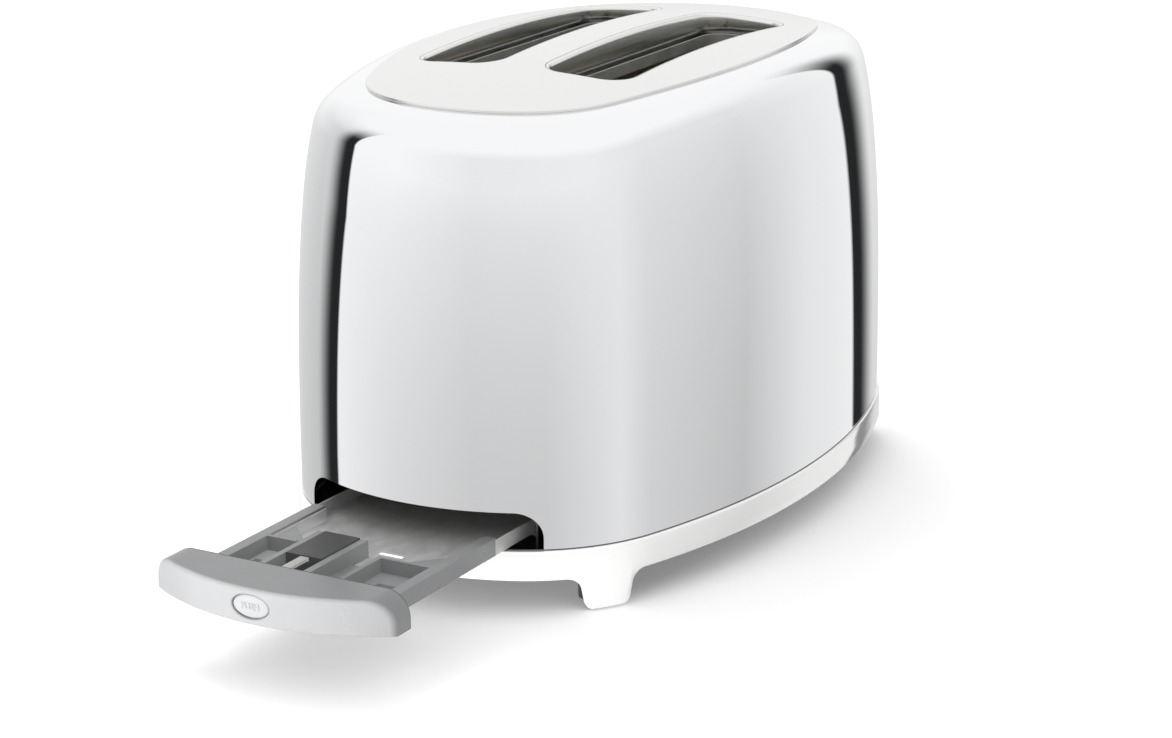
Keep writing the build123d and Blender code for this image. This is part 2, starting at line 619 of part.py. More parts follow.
# heating: four mica cards, each wound with flat ribbon on its bread side
CARDS = (("near_outer", -CARD_Y_OUTER, 1), ("near_inner", -CARD_Y_INNER, -1),
         ("far_inner", CARD_Y_INNER, 1), ("far_outer", CARD_Y_OUTER, -1))
for name, card_y, face in CARDS:
    with BuildPart() as card:
        block(CHAMBER_TRAY_X, CHAMBER_CONTROL_X, card_y - CARD_SHEET / 2,
              card_y + CARD_SHEET / 2, CARD_BOTTOM, CARD_TOP)
    save(card, f"{name}_mica_card")
    with BuildPart() as winding:
        ribbon_y = card_y + face * (CARD_SHEET + RIBBON_SHEET) / 2
        middle = (CARD_BOTTOM + CARD_TOP) / 2
        for step in range(RIBBON_COUNT):
            ribbon_z = middle + (step - (RIBBON_COUNT - 1) / 2) * RIBBON_PITCH
            block(CHAMBER_TRAY_X + 7, CHAMBER_CONTROL_X - 7, ribbon_y - RIBBON_SHEET / 2,
                  ribbon_y + RIBBON_SHEET / 2, ribbon_z - RIBBON_HEIGHT / 2,
                  ribbon_z + RIBBON_HEIGHT / 2)
            if step:
                side_x = CHAMBER_CONTROL_X - 8.2 if step % 2 else CHAMBER_TRAY_X + 7
                block(side_x, side_x + 1.2, ribbon_y - RIBBON_SHEET / 2,
                      ribbon_y + RIBBON_SHEET / 2, ribbon_z - RIBBON_PITCH, ribbon_z)
    save(winding, f"{name}_heating_ribbon")

with BuildPart() as bus_bar:
    block(CHAMBER_TRAY_X, CHAMBER_TRAY_X + 1.2, -CARD_Y_OUTER - 1, CARD_Y_OUTER + 1,
          CARD_TOP, CARD_TOP + 2)
save(bus_bar, "bus_bar")

# bread guards: one wire cage on each side of each slot
GUARDS = (("near_outer_guard", -SLOT_Y - GUARD_OPEN), ("near_inner_guard", -SLOT_Y + GUARD_OPEN),
          ("far_inner_guard", SLOT_Y - GUARD_OPEN), ("far_outer_guard", SLOT_Y + GUARD_OPEN))
for name, guard_y in GUARDS:
    with BuildPart() as guard:
        for rail_z in (GUARD_RAIL_LOW, GUARD_RAIL_HIGH):
            add(wire((CHAMBER_TRAY_X - 4, guard_y, rail_z), (1, 0, 0),
                     CHAMBER_CONTROL_X - CHAMBER_TRAY_X + 7, GUARD_RAIL))
        for step in range(GUARD_COUNT):
            upright_x = SLOT_SHIFT / 2 + (step - (GUARD_COUNT - 1) / 2) * GUARD_PITCH
            add(wire((upright_x, guard_y, GUARD_RAIL_LOW), (0, 0, 1),
                     GUARD_RAIL_HIGH - GUARD_RAIL_LOW, GUARD_WIRE))
    save(guard, name)

# carriage: racks, bracket, lever, ball
for name, rack_y in (("near_rack", -SLOT_Y), ("far_rack", SLOT_Y)):
    with BuildPart() as rack:
        block(RACK_START, BRACKET_X, rack_y - RACK_SHEET / 2, rack_y + RACK_SHEET / 2,
              RACK_TOP - RACK_HEIGHT, RACK_TOP)
        for step in range(RACK_FINGER_COUNT):
            finger_x = SLOT_SHIFT / 2 + (step - (RACK_FINGER_COUNT - 1) / 2) * GUARD_PITCH
            block(finger_x - RACK_FINGER, finger_x + RACK_FINGER, rack_y - RACK_FINGER_HALF,
                  rack_y + RACK_FINGER_HALF, RACK_TOP - RACK_SHEET, RACK_TOP)
    save(rack, name)

BRACKET_BACK = BRACKET_X + BRACKET_SHEET
with BuildPart() as carriage_bracket:
    block(BRACKET_X, BRACKET_BACK, -BRACKET_HALF_WIDTH, BRACKET_HALF_WIDTH,
          BRACKET_BOTTOM, RACK_TOP + 6)
    block(BRACKET_X, BRACKET_BACK, -SLIDER_HALF, SLIDER_HALF, RACK_TOP + 6, BRACKET_TOP)
    block(BRACKET_BACK, ROD_X + SLIDER_HALF, -SLIDER_HALF, SLIDER_HALF,
          SLIDER_BOTTOM, BRACKET_TOP)
    for side in (-1, 1):
        ys = sorted((side * SLIDER_HALF, side * (SPRING_Y + 4)))
        block(BRACKET_X, ROD_X + SLIDER_HALF, ys[0], ys[1], SLIDER_BOTTOM,
              SLIDER_BOTTOM + BRACKET_SHEET)
    ys = (MAGNET_Y - 7, MAGNET_Y + 7)
    block(BRACKET_BACK, ROD_X + 6, ys[0], ys[1], BRACKET_BOTTOM,
          BRACKET_BOTTOM + BRACKET_SHEET)
    post(ROD_X, 0, SLIDER_BOTTOM, BRACKET_TOP, ROD_RADIUS + SHAFT_FIT, mode=Mode.SUBTRACT)
save(carriage_bracket, "carriage_bracket")

with BuildPart() as keeper_plate:
    block(ROD_X - 8, ROD_X + 6, MAGNET_Y - 7, MAGNET_Y + 7, BRACKET_BOTTOM - KEEPER_SHEET,
          BRACKET_BOTTOM)
save(keeper_plate, "keeper_plate")

with BuildPart() as lever_arm:
    block(ROD_X + SLIDER_HALF, BALL_X, -LEVER_SHEET / 2, LEVER_SHEET / 2,
          LEVER_Z - LEVER_HEIGHT / 2, LEVER_Z + LEVER_HEIGHT / 2)
save(lever_arm, "lever_arm")

# the ball is turned in flat bands
with BuildPart() as lever_ball:
    with BuildSketch(Plane.XY.offset(LEVER_Z)):
        with Locations((BALL_X, 0)):
            RegularPolygon(BALL_RADIUS, BALL_BANDS, rotation=180 / BALL_BANDS)
            with Locations((0, -BALL_RADIUS)):
                Rectangle(4 * BALL_RADIUS, 2 * BALL_RADIUS, mode=Mode.SUBTRACT)
    revolve(axis=Axis((BALL_X, 0, LEVER_Z), (1, 0, 0)))
    block(BALL_X - 2 * BALL_RADIUS, BALL_X, -LEVER_SHEET / 2, LEVER_SHEET / 2,
          LEVER_Z - LEVER_HEIGHT / 2, LEVER_Z + LEVER_HEIGHT / 2, mode=Mode.SUBTRACT)
save(lever_ball, "lever_ball")

with BuildPart() as guide_rod:
    post(ROD_X, 0, PLATE_TOP, TOP_BRACKET_Z + CHASSIS_SHEET + 2, ROD_RADIUS)
save(guide_rod, "guide_rod")

with BuildPart() as return_springs:
    for side in (-1, 1):
        spring_low = SLIDER_BOTTOM + BRACKET_SHEET + GAP
        post(ROD_X - 4, side * SPRING_Y, spring_low, TOP_BRACKET_Z - GAP, SPRING_RADIUS)
        post(ROD_X - 4, side * SPRING_Y, spring_low, TOP_BRACKET_Z - GAP, SPRING_RADIUS - 0.9,
             mode=Mode.SUBTRACT)
save(return_springs, "return_springs")

# hold-down magnet, switch and control board
MAGNET_TOP = BRACKET_BOTTOM - KEEPER_SHEET - CARRIAGE_TRAVEL - GAP
with BuildPart() as magnet_core:
    block(ROD_X - 8, ROD_X + 6, MAGNET_Y - 10, MAGNET_Y + 10, PLATE_TOP, PLATE_TOP + 6)
    for leg in (-8.5, 8.5):
        block(ROD_X - 5, ROD_X + 3, MAGNET_Y + leg - 1.5, MAGNET_Y + leg + 1.5,
              PLATE_TOP + 6, MAGNET_TOP)
    post(ROD_X - 1, MAGNET_Y, PLATE_TOP + 6, MAGNET_TOP, 2.5)
save(magnet_core, "magnet_core")
with BuildPart() as magnet_coil:
    post(ROD_X - 1, MAGNET_Y, PLATE_TOP + 6, MAGNET_TOP - 3, 6.2)
    post(ROD_X - 1, MAGNET_Y, PLATE_TOP + 6, MAGNET_TOP - 3, 2.5 + SHAFT_FIT,
         mode=Mode.SUBTRACT)
save(magnet_coil, "magnet_coil")

SWITCH_TOP = BRACKET_BOTTOM - CARRIAGE_TRAVEL - 3
with BuildPart() as mains_switch:
    block(ROD_X - 10, ROD_X + 4, -MAGNET_Y - 8, -MAGNET_Y + 8, PLATE_TOP, SWITCH_TOP - 2)
    post(ROD_X - 4, -MAGNET_Y, SWITCH_TOP - 2, SWITCH_TOP, 1.5)
save(mains_switch, "mains_switch")

with BuildPart() as terminal_block:
    block(BUSH_SPOT[0], BUSH_SPOT[0] + 18, CHAMBER_HALF_WIDTH - 8, CHAMBER_HALF_WIDTH - 2,
          PLATE_TOP, PLATE_TOP + 12)
save(terminal_block, "terminal_block")

# the board stands behind the wall where the outermost keys come through it
BOARD_X = round(end_x_at(max(KEY_Y)) - BOARD_BEHIND_KEYS, 1)
BOARD_FACE = BOARD_X + BOARD_SHEET
with BuildPart() as control_board:
    block(BOARD_X, BOARD_FACE, -BOARD_HALF_WIDTH, BOARD_HALF_WIDTH, PLATE_TOP, BOARD_TOP)
save(control_board, "control_board")

KEY_STEM_END = BOARD_FACE + 8.6
with BuildPart() as key_switches:
    for key_y in KEY_Y:
        block(BOARD_FACE, KEY_STEM_END - KEY_TRAVEL - GAP, key_y - 3.5, key_y + 3.5,
              CONTROL_Z - 3.5, CONTROL_Z + 3.5)
save(key_switches, "key_switches")

POT_LENGTH = 8.0
with BuildPart() as dial_potentiometer:
    rod_x(BOARD_FACE, BOARD_FACE + POT_LENGTH, 0, CONTROL_Z, 8.0)
    rod_x(BOARD_FACE + 2, BOARD_FACE + POT_LENGTH, 0, CONTROL_Z, DIAL_SHAFT + SHAFT_FIT,
          mode=Mode.SUBTRACT)
save(dial_potentiometer, "dial_potentiometer")

# control panel: curved bar filling the arched opening of the shell
with BuildPart() as control_panel:
    with BuildSketch(Plane.XY.offset(SHELL_BOTTOM)):
        add(body_oval(0.5))
        add(body_oval(0.5 + CONTROL_SHEET), mode=Mode.SUBTRACT)
    extrude(amount=CONTROL_TOP - SHELL_BOTTOM)
    add(arch(CONTROL_HALF_WIDTH, CONTROL_TOP, CONTROL_CORNER - SEAM,
             BODY_HALF_LENGTH - 40, BODY_HALF_LENGTH + 10), mode=Mode.INTERSECT)
    rod_x(BODY_HALF_LENGTH - 10, BODY_HALF_LENGTH + 10, 0, CONTROL_Z, DIAL_SHAFT + GAP,
          mode=Mode.SUBTRACT)
    for key_y in KEY_Y:
        rod_x(BODY_HALF_LENGTH - 30, BODY_HALF_LENGTH + 10, key_y, CONTROL_Z,
              KEY_RADIUS + GAP, mode=Mode.SUBTRACT)
save(control_panel, "control_panel")

DIAL_FOOT = BODY_HALF_LENGTH + 0.5
with BuildPart() as browning_dial:
    rod_x(BOARD_FACE + 3, DIAL_FOOT, 0, CONTROL_Z, DIAL_SHAFT)
    rod_x(DIAL_FOOT, DIAL_FOOT + DIAL_DEPTH, 0, CONTROL_Z, DIAL_RADIUS)
    rim = browning_dial.faces().sort_by(Axis.X)[-1].edges()
    chamfer(rim, 1.2)
    block(DIAL_FOOT + DIAL_DEPTH - 2, DIAL_FOOT + DIAL_DEPTH + 1, -0.7, 0.7,
          CONTROL_Z + 4, CONTROL_Z + DIAL_RADIUS + 1, mode=Mode.SUBTRACT)
save(browning_dial, "browning_dial")

for name, key_y in zip(KEY_NAMES, KEY_Y):
    with BuildPart() as key:
        face_x = end_x_at(key_y)
        rod_x(face_x - 5.5, face_x + KEY_PROUD, key_y, CONTROL_Z, KEY_RADIUS)
        chamfer(key.faces().sort_by(Axis.X)[-1].edges(), 0.7)
        rod_x(KEY_STEM_END, face_x - 5.5, key_y, CONTROL_Z, KEY_STEM)
    save(key, name)

# crumb tray: moulded handle and frame, steel pan, latch, push button
BACK_EDGE = HANDLE_BACK + POCKET_DEPTH
CAVITY_FRONT = HANDLE_FRONT + 12.0
BUTTON_FACE = HANDLE_FRONT + BUTTON_FACE_GAP
SLIDER_Z = BUTTON_Z
SLIDER_END = HANDLE_BACK + RIB_LENGTH + 1.2
LATCH_BACK = HANDLE_BACK + RIB_LENGTH
LATCH_FRONT = LATCH_BACK - LATCH_SIZE[0]
with BuildPart() as tray_handle:
    with BuildSketch(Plane.XY.offset(HANDLE_BOTTOM)):
        with Locations((-TRAY_OUT, 0)):
            add(body_oval())
        with Locations((HANDLE_BACK - HANDLE_DEPTH, 0)):
            Rectangle(2 * HANDLE_DEPTH, 2 * HANDLE_HALF, mode=Mode.INTERSECT)
    extrude(amount=HANDLE_TOP - HANDLE_BOTTOM)
    add(arch(HANDLE_HALF, HANDLE_TOP, MOUTH_CORNER - 0.5, HANDLE_FRONT - 10, HANDLE_BACK + 1,
             bottom=HANDLE_BOTTOM), mode=Mode.INTERSECT)
    front = tray_handle.faces().sort_by(Axis.X)[0]
    fillet(front.edges().sort_by(Axis.Z)[-1], HANDLE_EDGE)
    # frame behind the bar: floor, arms, pockets and ribs
    block(HANDLE_BACK, BACK_EDGE, -ARM_OUTER, ARM_OUTER, TRAY_FLOOR, TRAY_FLOOR + FRAME_FLOOR)
    for side in (-1, 1):
        ys = sorted((side * ARM_OUTER, side * (ARM_OUTER - ARM_WIDTH)))
        block(HANDLE_BACK, HANDLE_BACK + ARM_LENGTH, ys[0], ys[1], TRAY_FLOOR, ARM_TOP)
    for y0, y1 in ((LATCH_RIB[1] + 1, ARM_OUTER), (-ARM_OUTER, POCKET_RIB[1] - 0.5)):
        block(BACK_EDGE - 1.6, BACK_EDGE, y0, y1, TRAY_FLOOR, ARM_TOP)
    for (y0, y1), length in ((LATCH_RIB, RIB_LENGTH), (BUTTON_RIB, RIB_LENGTH),
                             (POCKET_RIB, POCKET_DEPTH)):
        block(HANDLE_BACK, HANDLE_BACK + length, y0, y1, TRAY_FLOOR, ARM_TOP)
    block(BACK_EDGE, LATCH_BACK, BUTTON_RIB[1], LATCH_RIB[0], TRAY_FLOOR,
          TRAY_FLOOR + FRAME_FLOOR)
    arm_inner = ARM_OUTER - ARM_WIDTH
    for pocket_y in ((LATCH_RIB[1] + 1 + arm_inner) / 2, (POCKET_RIB[1] - 1 - arm_inner) / 2):
        with BuildSketch(Plane.XY.offset(TRAY_FLOOR)):
            with Locations((HANDLE_BACK + 12, pocket_y), (HANDLE_BACK + 26, pocket_y)):
                Rectangle(*POCKET_SLOT)
        extrude(amount=FRAME_FLOOR, mode=Mode.SUBTRACT)
    # recess, bore and cavity for the button and its slider
    with BuildSketch(Plane.YZ.offset(HANDLE_FRONT - 1)):
        with Locations((0, BUTTON_Z)):
            Ellipse(BUTTON_OVAL[0] / 2 + GAP, BUTTON_OVAL[1] / 2 + GAP)
    extrude(amount=1 + BUTTON_FACE_GAP + BUTTON_DEPTH + BUTTON_TRAVEL + GAP,
            mode=Mode.SUBTRACT)
    rod_x(HANDLE_FRONT, CAVITY_FRONT + 1, 0, BUTTON_Z, BUTTON_STEM + GAP, mode=Mode.SUBTRACT)
    block(CAVITY_FRONT, HANDLE_BACK - 2, -5, LATCH_SIDE + 4, HANDLE_BOTTOM, SLIDER_Z + 3,
          mode=Mode.SUBTRACT)
    block(HANDLE_BACK - 3, HANDLE_BACK + 1, LATCH_SIDE - TONGUE_WIDTH / 2 - GAP,
          LATCH_SIDE + TONGUE_WIDTH / 2 + GAP, SLIDER_Z - TONGUE_SHEET / 2 - GAP,
          SLIDER_Z + TONGUE_SHEET / 2 + GAP, mode=Mode.SUBTRACT)
save(tray_handle, "tray_handle")

with BuildPart() as latch_block:
    base_z = TRAY_FLOOR + FRAME_FLOOR
    block(LATCH_FRONT, LATCH_BACK, LATCH_SIDE - LATCH_SIZE[1] / 2,
          LATCH_SIDE + LATCH_SIZE[1] / 2, base_z, base_z + LATCH_SIZE[2])
    block(LATCH_FRONT - 1, LATCH_BACK + 1, LATCH_SIDE - TONGUE_WIDTH / 2 - GAP,
          LATCH_SIDE + TONGUE_WIDTH / 2 + GAP, SLIDER_Z - TONGUE_SHEET / 2 - GAP,
          SLIDER_Z + TONGUE_SHEET / 2 + GAP, mode=Mode.SUBTRACT)
save(latch_block, "latch_block")

with BuildPart() as push_button:
    with BuildSketch(Plane.YZ.offset(BUTTON_FACE)):
        with Locations((0, BUTTON_Z)):
            Ellipse(BUTTON_OVAL[0] / 2, BUTTON_OVAL[1] / 2)
    extrude(amount=BUTTON_DEPTH)
    chamfer(push_button.faces().sort_by(Axis.X)[0].edges(), 0.5)
    rod_x(BUTTON_FACE + BUTTON_DEPTH, CAVITY_FRONT + 3, 0, BUTTON_Z, BUTTON_STEM)
save(push_button, "push_button")

with BuildPart() as release_slider:
    low, high = SLIDER_Z - TONGUE_SHEET / 2, SLIDER_Z + TONGUE_SHEET / 2
    block(CAVITY_FRONT + 3, CAVITY_FRONT + 5, -3, LATCH_SIDE + TONGUE_WIDTH / 2, low, high)
    block(CAVITY_FRONT + 3, SLIDER_END, LATCH_SIDE - TONGUE_WIDTH / 2,
          LATCH_SIDE + TONGUE_WIDTH / 2, low, high)
save(release_slider, "release_slider")

PAN_FRONT = BACK_EDGE
PAN_BACK = CHAMBER_CONTROL_X - PAN_END_GAP - TRAY_OUT
with BuildPart() as crumb_pan:
    block(PAN_FRONT, PAN_BACK, -ARM_OUTER, ARM_OUTER, TRAY_FLOOR, TRAY_FLOOR + PAN_SHEET)
    block(PAN_FRONT, LATCH_BACK, BUTTON_RIB[0] - 0.5, LATCH_RIB[1], TRAY_FLOOR,
          TRAY_FLOOR + PAN_SHEET, mode=Mode.SUBTRACT)
    for side in (-1, 1):
        ys = sorted((side * ARM_OUTER, side * (ARM_OUTER - PAN_SHEET)))
        block(HANDLE_BACK + ARM_LENGTH, PAN_BACK, ys[0], ys[1], TRAY_FLOOR,
              TRAY_FLOOR + PAN_WALL_HEIGHT)
        ys = sorted((side * (ARM_OUTER - ARM_WIDTH), side * (ARM_OUTER - ARM_WIDTH - 0.7)))
        block(PAN_FRONT, HANDLE_BACK + ARM_LENGTH, ys[0], ys[1], TRAY_FLOOR,
              TRAY_FLOOR + PAN_WALL_HEIGHT)
        ys = sorted((side * ARM_OUTER, side * (ARM_OUTER - ARM_WIDTH)))
        block(PAN_FRONT, HANDLE_BACK + ARM_LENGTH, ys[0], ys[1], TRAY_FLOOR,
              TRAY_FLOOR + PAN_SHEET, mode=Mode.SUBTRACT)
    block(PAN_BACK - PAN_SHEET, PAN_BACK, -ARM_OUTER, ARM_OUTER, TRAY_FLOOR,
          TRAY_FLOOR + PAN_WALL_HEIGHT)
    block(BACK_EDGE + 16, BACK_EDGE + 19, -12.5, 0.0 - 1.5, TRAY_FLOOR,
          TRAY_FLOOR + PAN_SHEET, mode=Mode.SUBTRACT)
save(crumb_pan, "crumb_pan")

# runners and the catch that the release slider hooks behind
RUNNER_START = -BODY_HALF_LENGTH + HANDLE_DEPTH + 3
with BuildPart() as tray_runners:
    for side in (-1, 1):
        ledge_top = TRAY_FLOOR - GAP
        web = sorted((side * (ARM_OUTER + GAP), side * (ARM_OUTER + GAP + RUNNER_SHEET)))
        block(RUNNER_START, CHAMBER_CONTROL_X - 4, web[0], web[1], PLATE_TOP,
              TRAY_FLOOR + 5)
        ledge = sorted((side * (ARM_OUTER + GAP), side * (ARM_OUTER + GAP - RUNNER_LEDGE)))
        block(RUNNER_START, CHAMBER_CONTROL_X - 4, ledge[0], ledge[1],
              ledge_top - RUNNER_SHEET, ledge_top)
save(tray_runners, "tray_runners")

CATCH_X = SLIDER_END + TRAY_OUT + TRAY_OVERPUSH + BUTTON_TRAVEL + GAP
with BuildPart() as tray_catch:
    block(CHAMBER_TRAY_X, CHAMBER_TRAY_X + 1.2, LATCH_SIDE - 6, LATCH_SIDE + 6,
          TRAY_PASS_TOP, TRAY_PASS_TOP + 14)
    block(CHAMBER_TRAY_X, CATCH_X + 1.2, LATCH_SIDE - 6, LATCH_SIDE + 6,
          TRAY_PASS_TOP, TRAY_PASS_TOP + 1.2)
    block(CATCH_X, CATCH_X + 1.2, LATCH_SIDE - 6, LATCH_SIDE + 6, SLIDER_Z - 2,
          TRAY_PASS_TOP + 1.2)
save(tray_catch, "tray_catch")
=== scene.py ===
"""Looks of the two-slice toaster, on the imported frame.

Lengths in this file are millimetres, as in the part's own source, and become metres where
a mesh is made. X runs along the bread slots, the crumb tray leaves at -X, Z is up.
"""

import json
from math import atan2, cos, hypot, pi, radians, sin, sqrt

import bmesh
import bpy
import numpy as np
from mathutils import Matrix, Vector
from mathutils.bvhtree import BVHTree
from mathutils.geometry import delaunay_2d_cdt
from mathutils.interpolate import poly_3d_calc


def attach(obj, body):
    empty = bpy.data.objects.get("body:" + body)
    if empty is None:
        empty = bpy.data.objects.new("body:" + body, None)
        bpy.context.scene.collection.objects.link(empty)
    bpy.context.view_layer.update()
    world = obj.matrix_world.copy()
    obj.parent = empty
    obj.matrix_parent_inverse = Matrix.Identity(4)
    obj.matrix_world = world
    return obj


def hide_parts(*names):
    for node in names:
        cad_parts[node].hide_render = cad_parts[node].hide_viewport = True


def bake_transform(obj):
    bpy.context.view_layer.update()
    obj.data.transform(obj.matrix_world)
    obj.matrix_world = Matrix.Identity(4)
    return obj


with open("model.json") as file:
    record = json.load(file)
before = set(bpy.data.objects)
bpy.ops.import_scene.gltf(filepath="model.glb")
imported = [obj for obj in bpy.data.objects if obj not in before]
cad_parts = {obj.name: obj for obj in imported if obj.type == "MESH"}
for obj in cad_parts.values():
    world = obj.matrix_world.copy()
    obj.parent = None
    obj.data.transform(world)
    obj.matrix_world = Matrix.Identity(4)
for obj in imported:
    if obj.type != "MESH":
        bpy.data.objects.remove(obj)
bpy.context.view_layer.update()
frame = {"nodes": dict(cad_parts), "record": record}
MM = 0.001

# body outline and wall, as the solids have them
BODY = dict(half_length=155.5, half_width=97.0, side=325.0, end=101.0, corner=70.0)
PANEL = dict(half_length=124.0, half_width=71.0, side=262.0, end=70.0, corner=49.0)
CROWN_TOP = 198.0
CROWN_ACROSS = 500.0
CROWN_ALONG = 845.0
SHOULDER = 16.0
SHELL_WALL = 1.0
SHELL_BOTTOM = 26.0
# joint line between shell and foot band
SEAM = 0.45
# (share of the rise, drawn in at the ends, drawn in at the sides)
WALL_LEAN = ((0.0, 0.0, 0.0), (0.29, 0.3, 0.3), (0.49, 1.5, 1.3), (0.66, 3.8, 3.3),
             (0.81, 7.5, 6.5), (0.925, 13.0, 11.0), (1.04, 21.5, 17.5))
PANEL_SHEET = 1.2
PANEL_OVERLAP = 3.0
SLOT = dict(length=146.0, width=36.0, corner=10.0, shift=4.0, pitch=58.0)
COLLAR_TOP = 190.0
COLLAR_BOTTOM = 185.0
COLLAR_WALL = 0.8
MOUTH = dict(half_width=52.4, height=15.0, corner=10.0)
CONTROL_ARCH = dict(half_width=52.3, height=37.3, corner=12.0)
LEVER_SLOT = dict(low=103.5, high=159.5, width=5.0)
SKIRT_PROUD = 1.2
SKIRT_WALL = 2.6
SKIRT_BOTTOM = 14.0
FOOT = dict(bottom=0.9, half_width=11.5, taper=2.6, flare=6.5, corner=3.5)
FEET = ((-122.5, 70.6), (134.0, 59.0))
TRAY_OUT = 102.0
HANDLE = dict(bottom=26.5, top=40.2, half=51.9, corner=9.5, depth=24.5, edge=1.7, low_edge=0.8)
HANDLE_FRONT = -BODY["half_length"] - TRAY_OUT
HANDLE_BACK = HANDLE_FRONT + HANDLE["depth"]

# webs between the pockets and the arms, in plan on the far side
WEB = dict(plan=((-194.2, 36.5), (-194.2, 22.5), (-190.5, 22.5), (-176.0, 36.5)),
           low=28.1, high=32.4)

# push button: an oval sunk in the bar, with room behind it for its travel
BUTTON = dict(length=15.5, height=8.7, z=(HANDLE["bottom"] + HANDLE["top"]) / 2, sunk=0.7, gap=0.3,
              lip=0.7, pocket=5.6, bore=4.6, depth=2.6, rim=0.8, dome=0.35, stem=2.0,
              stem_end=-242.6)

# control end
KNOB = dict(x=168.0, z=154.0, radius=12.0)
DIAL = dict(foot=156.0, depth=13.0, radius=15.0, z=44.0, shaft=3.0, shaft_start=134.6)
KEYS = dict(stop_button=-41.0, defrost_button=-28.0, reheat_button=28.0, bagel_button=41.0)
KEY = dict(radius=4.6, stem=2.0, stem_start=140.2, proud=1.4, depth=5.5)

# inside: cages, ribbons, springs and the floor's screws
CAGES = dict(near_outer_guard=-45.0, near_inner_guard=-13.0, far_inner_guard=13.0,
             far_outer_guard=45.0)
CAGE = dict(low=62.0, high=168.0, wire=0.8, rail=0.87, start=-88.6, end=90.6, middle=4.0,
            pitch=24.0, count=7)
RIBBONS = dict(near_outer_heating_ribbon=-52.55, near_inner_heating_ribbon=-5.95,
               far_inner_heating_ribbon=5.95, far_outer_heating_ribbon=52.55)
RIBBON = dict(width=1.6, sheet=0.3, start=-78.0, end=81.0, middle=116.0, pitch=12.0, runs=9,
              link=1.2, crimps=26, crimp=0.06)
SPRING = dict(x=102.0, y=22.0, radius=3.05, wire=0.42, turns=22.0, bottom=120.25, length=51.0)
SCREW = dict(x=(-91.5, 94.5), y=52.24)

# points sampled on each arc of a quarter outline: end, corner, side
ARC_STEPS = (14, 22, 20)


# mesh tools

def outline(half_length, half_width, side, end, corner):
    """Points and outward normals of an eight-arc oval, anticlockwise from +X."""
    side_y, end_x = half_width - side, half_length - end
    to_side, to_end = side - corner, end - corner
    span = hypot(end_x, side_y)
    along = (to_side ** 2 - to_end ** 2 + span ** 2) / (2 * span)
    across = sqrt(to_side ** 2 - along ** 2)
    ux, uy = end_x / span, -side_y / span
    cx, cy = ux * along + uy * across, side_y + uy * along - ux * across
    turn_end = atan2(cy, cx - end_x)
    turn_side = atan2(cy - side_y, cx)
    spans = ((end_x, 0, end, 0, turn_end, ARC_STEPS[0]),
             (cx, cy, corner, turn_end, turn_side, ARC_STEPS[1]),
             (0, side_y, side, turn_side, pi / 2, ARC_STEPS[2]))
    quarter = []
    for ox, oy, radius, start, stop, steps in spans:
        for step in range(steps):
            turn = start + (stop - start) * step / steps
            quarter.append((ox + radius * cos(turn), oy + radius * sin(turn),
                            cos(turn), sin(turn)))
    quarter.append((0, half_width, 0, 1))
    first = np.array(quarter)
    second = first[-2::-1] * (-1, 1, -1, 1)
    third = first[1:] * (-1, -1, -1, -1)
    fourth = first[-2:0:-1] * (1, -1, 1, -1)
    ring = np.vstack((first, second, third, fourth))
    return ring[:, :2], ring[:, 2:]


def oval_ring(form, inset_end=0.0, inset_side=None):
    """The named oval, drawn in by an inset at its ends and at its sides."""
    inset_side = inset_end if inset_side is None else inset_side
    mean = (inset_end + inset_side) / 2
    return outline(form["half_length"] - inset_end, form["half_width"] - inset_side,
                   form["side"] - mean, form["end"] - mean, form["corner"] - mean)


def natural_spline(knots, values):
    """Smooth curve through the knots, as a function of one number."""
    knots, values = np.array(knots), np.array(values)
    count, step = len(knots), np.diff(knots)
    system, right = np.eye(count), np.zeros(count)
    for i in range(1, count - 1):
        system[i, i - 1:i + 2] = step[i - 1], 2 * (step[i - 1] + step[i]), step[i]
        right[i] = 6 * ((values[i + 1] - values[i]) / step[i]
                        - (values[i] - values[i - 1]) / step[i - 1])
    bend = np.linalg.solve(system, right)

    def curve(at):
        i = int(np.clip(np.searchsorted(knots, at) - 1, 0, count - 2))
        h, a, b = step[i], knots[i + 1] - at, at - knots[i]
        return ((bend[i] * a ** 3 + bend[i + 1] * b ** 3) / (6 * h)
                + (values[i] / h - bend[i] * h / 6) * a
                + (values[i + 1] / h - bend[i + 1] * h / 6) * b)
    return curve


RISE = CROWN_TOP - SHELL_BOTTOM
lean_end = natural_spline([s[0] * RISE for s in WALL_LEAN], [s[1] for s in WALL_LEAN])
lean_side = natural_spline([s[0] * RISE for s in WALL_LEAN], [s[2] for s in WALL_LEAN])


def crown_height(xy, drop=0.0):
    """Height of the crowned top, or of a surface that far under it."""
    reach = CROWN_ALONG - CROWN_ACROSS + np.sqrt((CROWN_ACROSS - drop) ** 2 - xy[..., 1] ** 2)
    return CROWN_TOP - CROWN_ALONG + np.sqrt(reach ** 2 - xy[..., 0] ** 2)


def crown_normal(xy, drop=0.0):
    """Upward unit normals of the crown."""
    step = 0.5
    dx = (crown_height(xy + (step, 0), drop) - crown_height(xy - (step, 0), drop)) / (2 * step)
    dy = (crown_height(xy + (0, step), drop) - crown_height(xy - (0, step), drop)) / (2 * step)
    normal = np.stack((-dx, -dy, np.ones_like(dx)), axis=-1)
    return normal / np.linalg.norm(normal, axis=-1, keepdims=True)


def lifted(xy, z):
    """Points of an (x, y) loop with a height each."""
    return np.column_stack((xy, np.broadcast_to(z, len(xy))))


def new_mesh(name, points, faces):
    """A mesh in metres from points in millimetres."""
    mesh = bpy.data.meshes.new(name)
    mesh.from_pydata([tuple(p) for p in np.asarray(points) * MM], [], faces)
    mesh.validate()
    mesh.update()
    return mesh


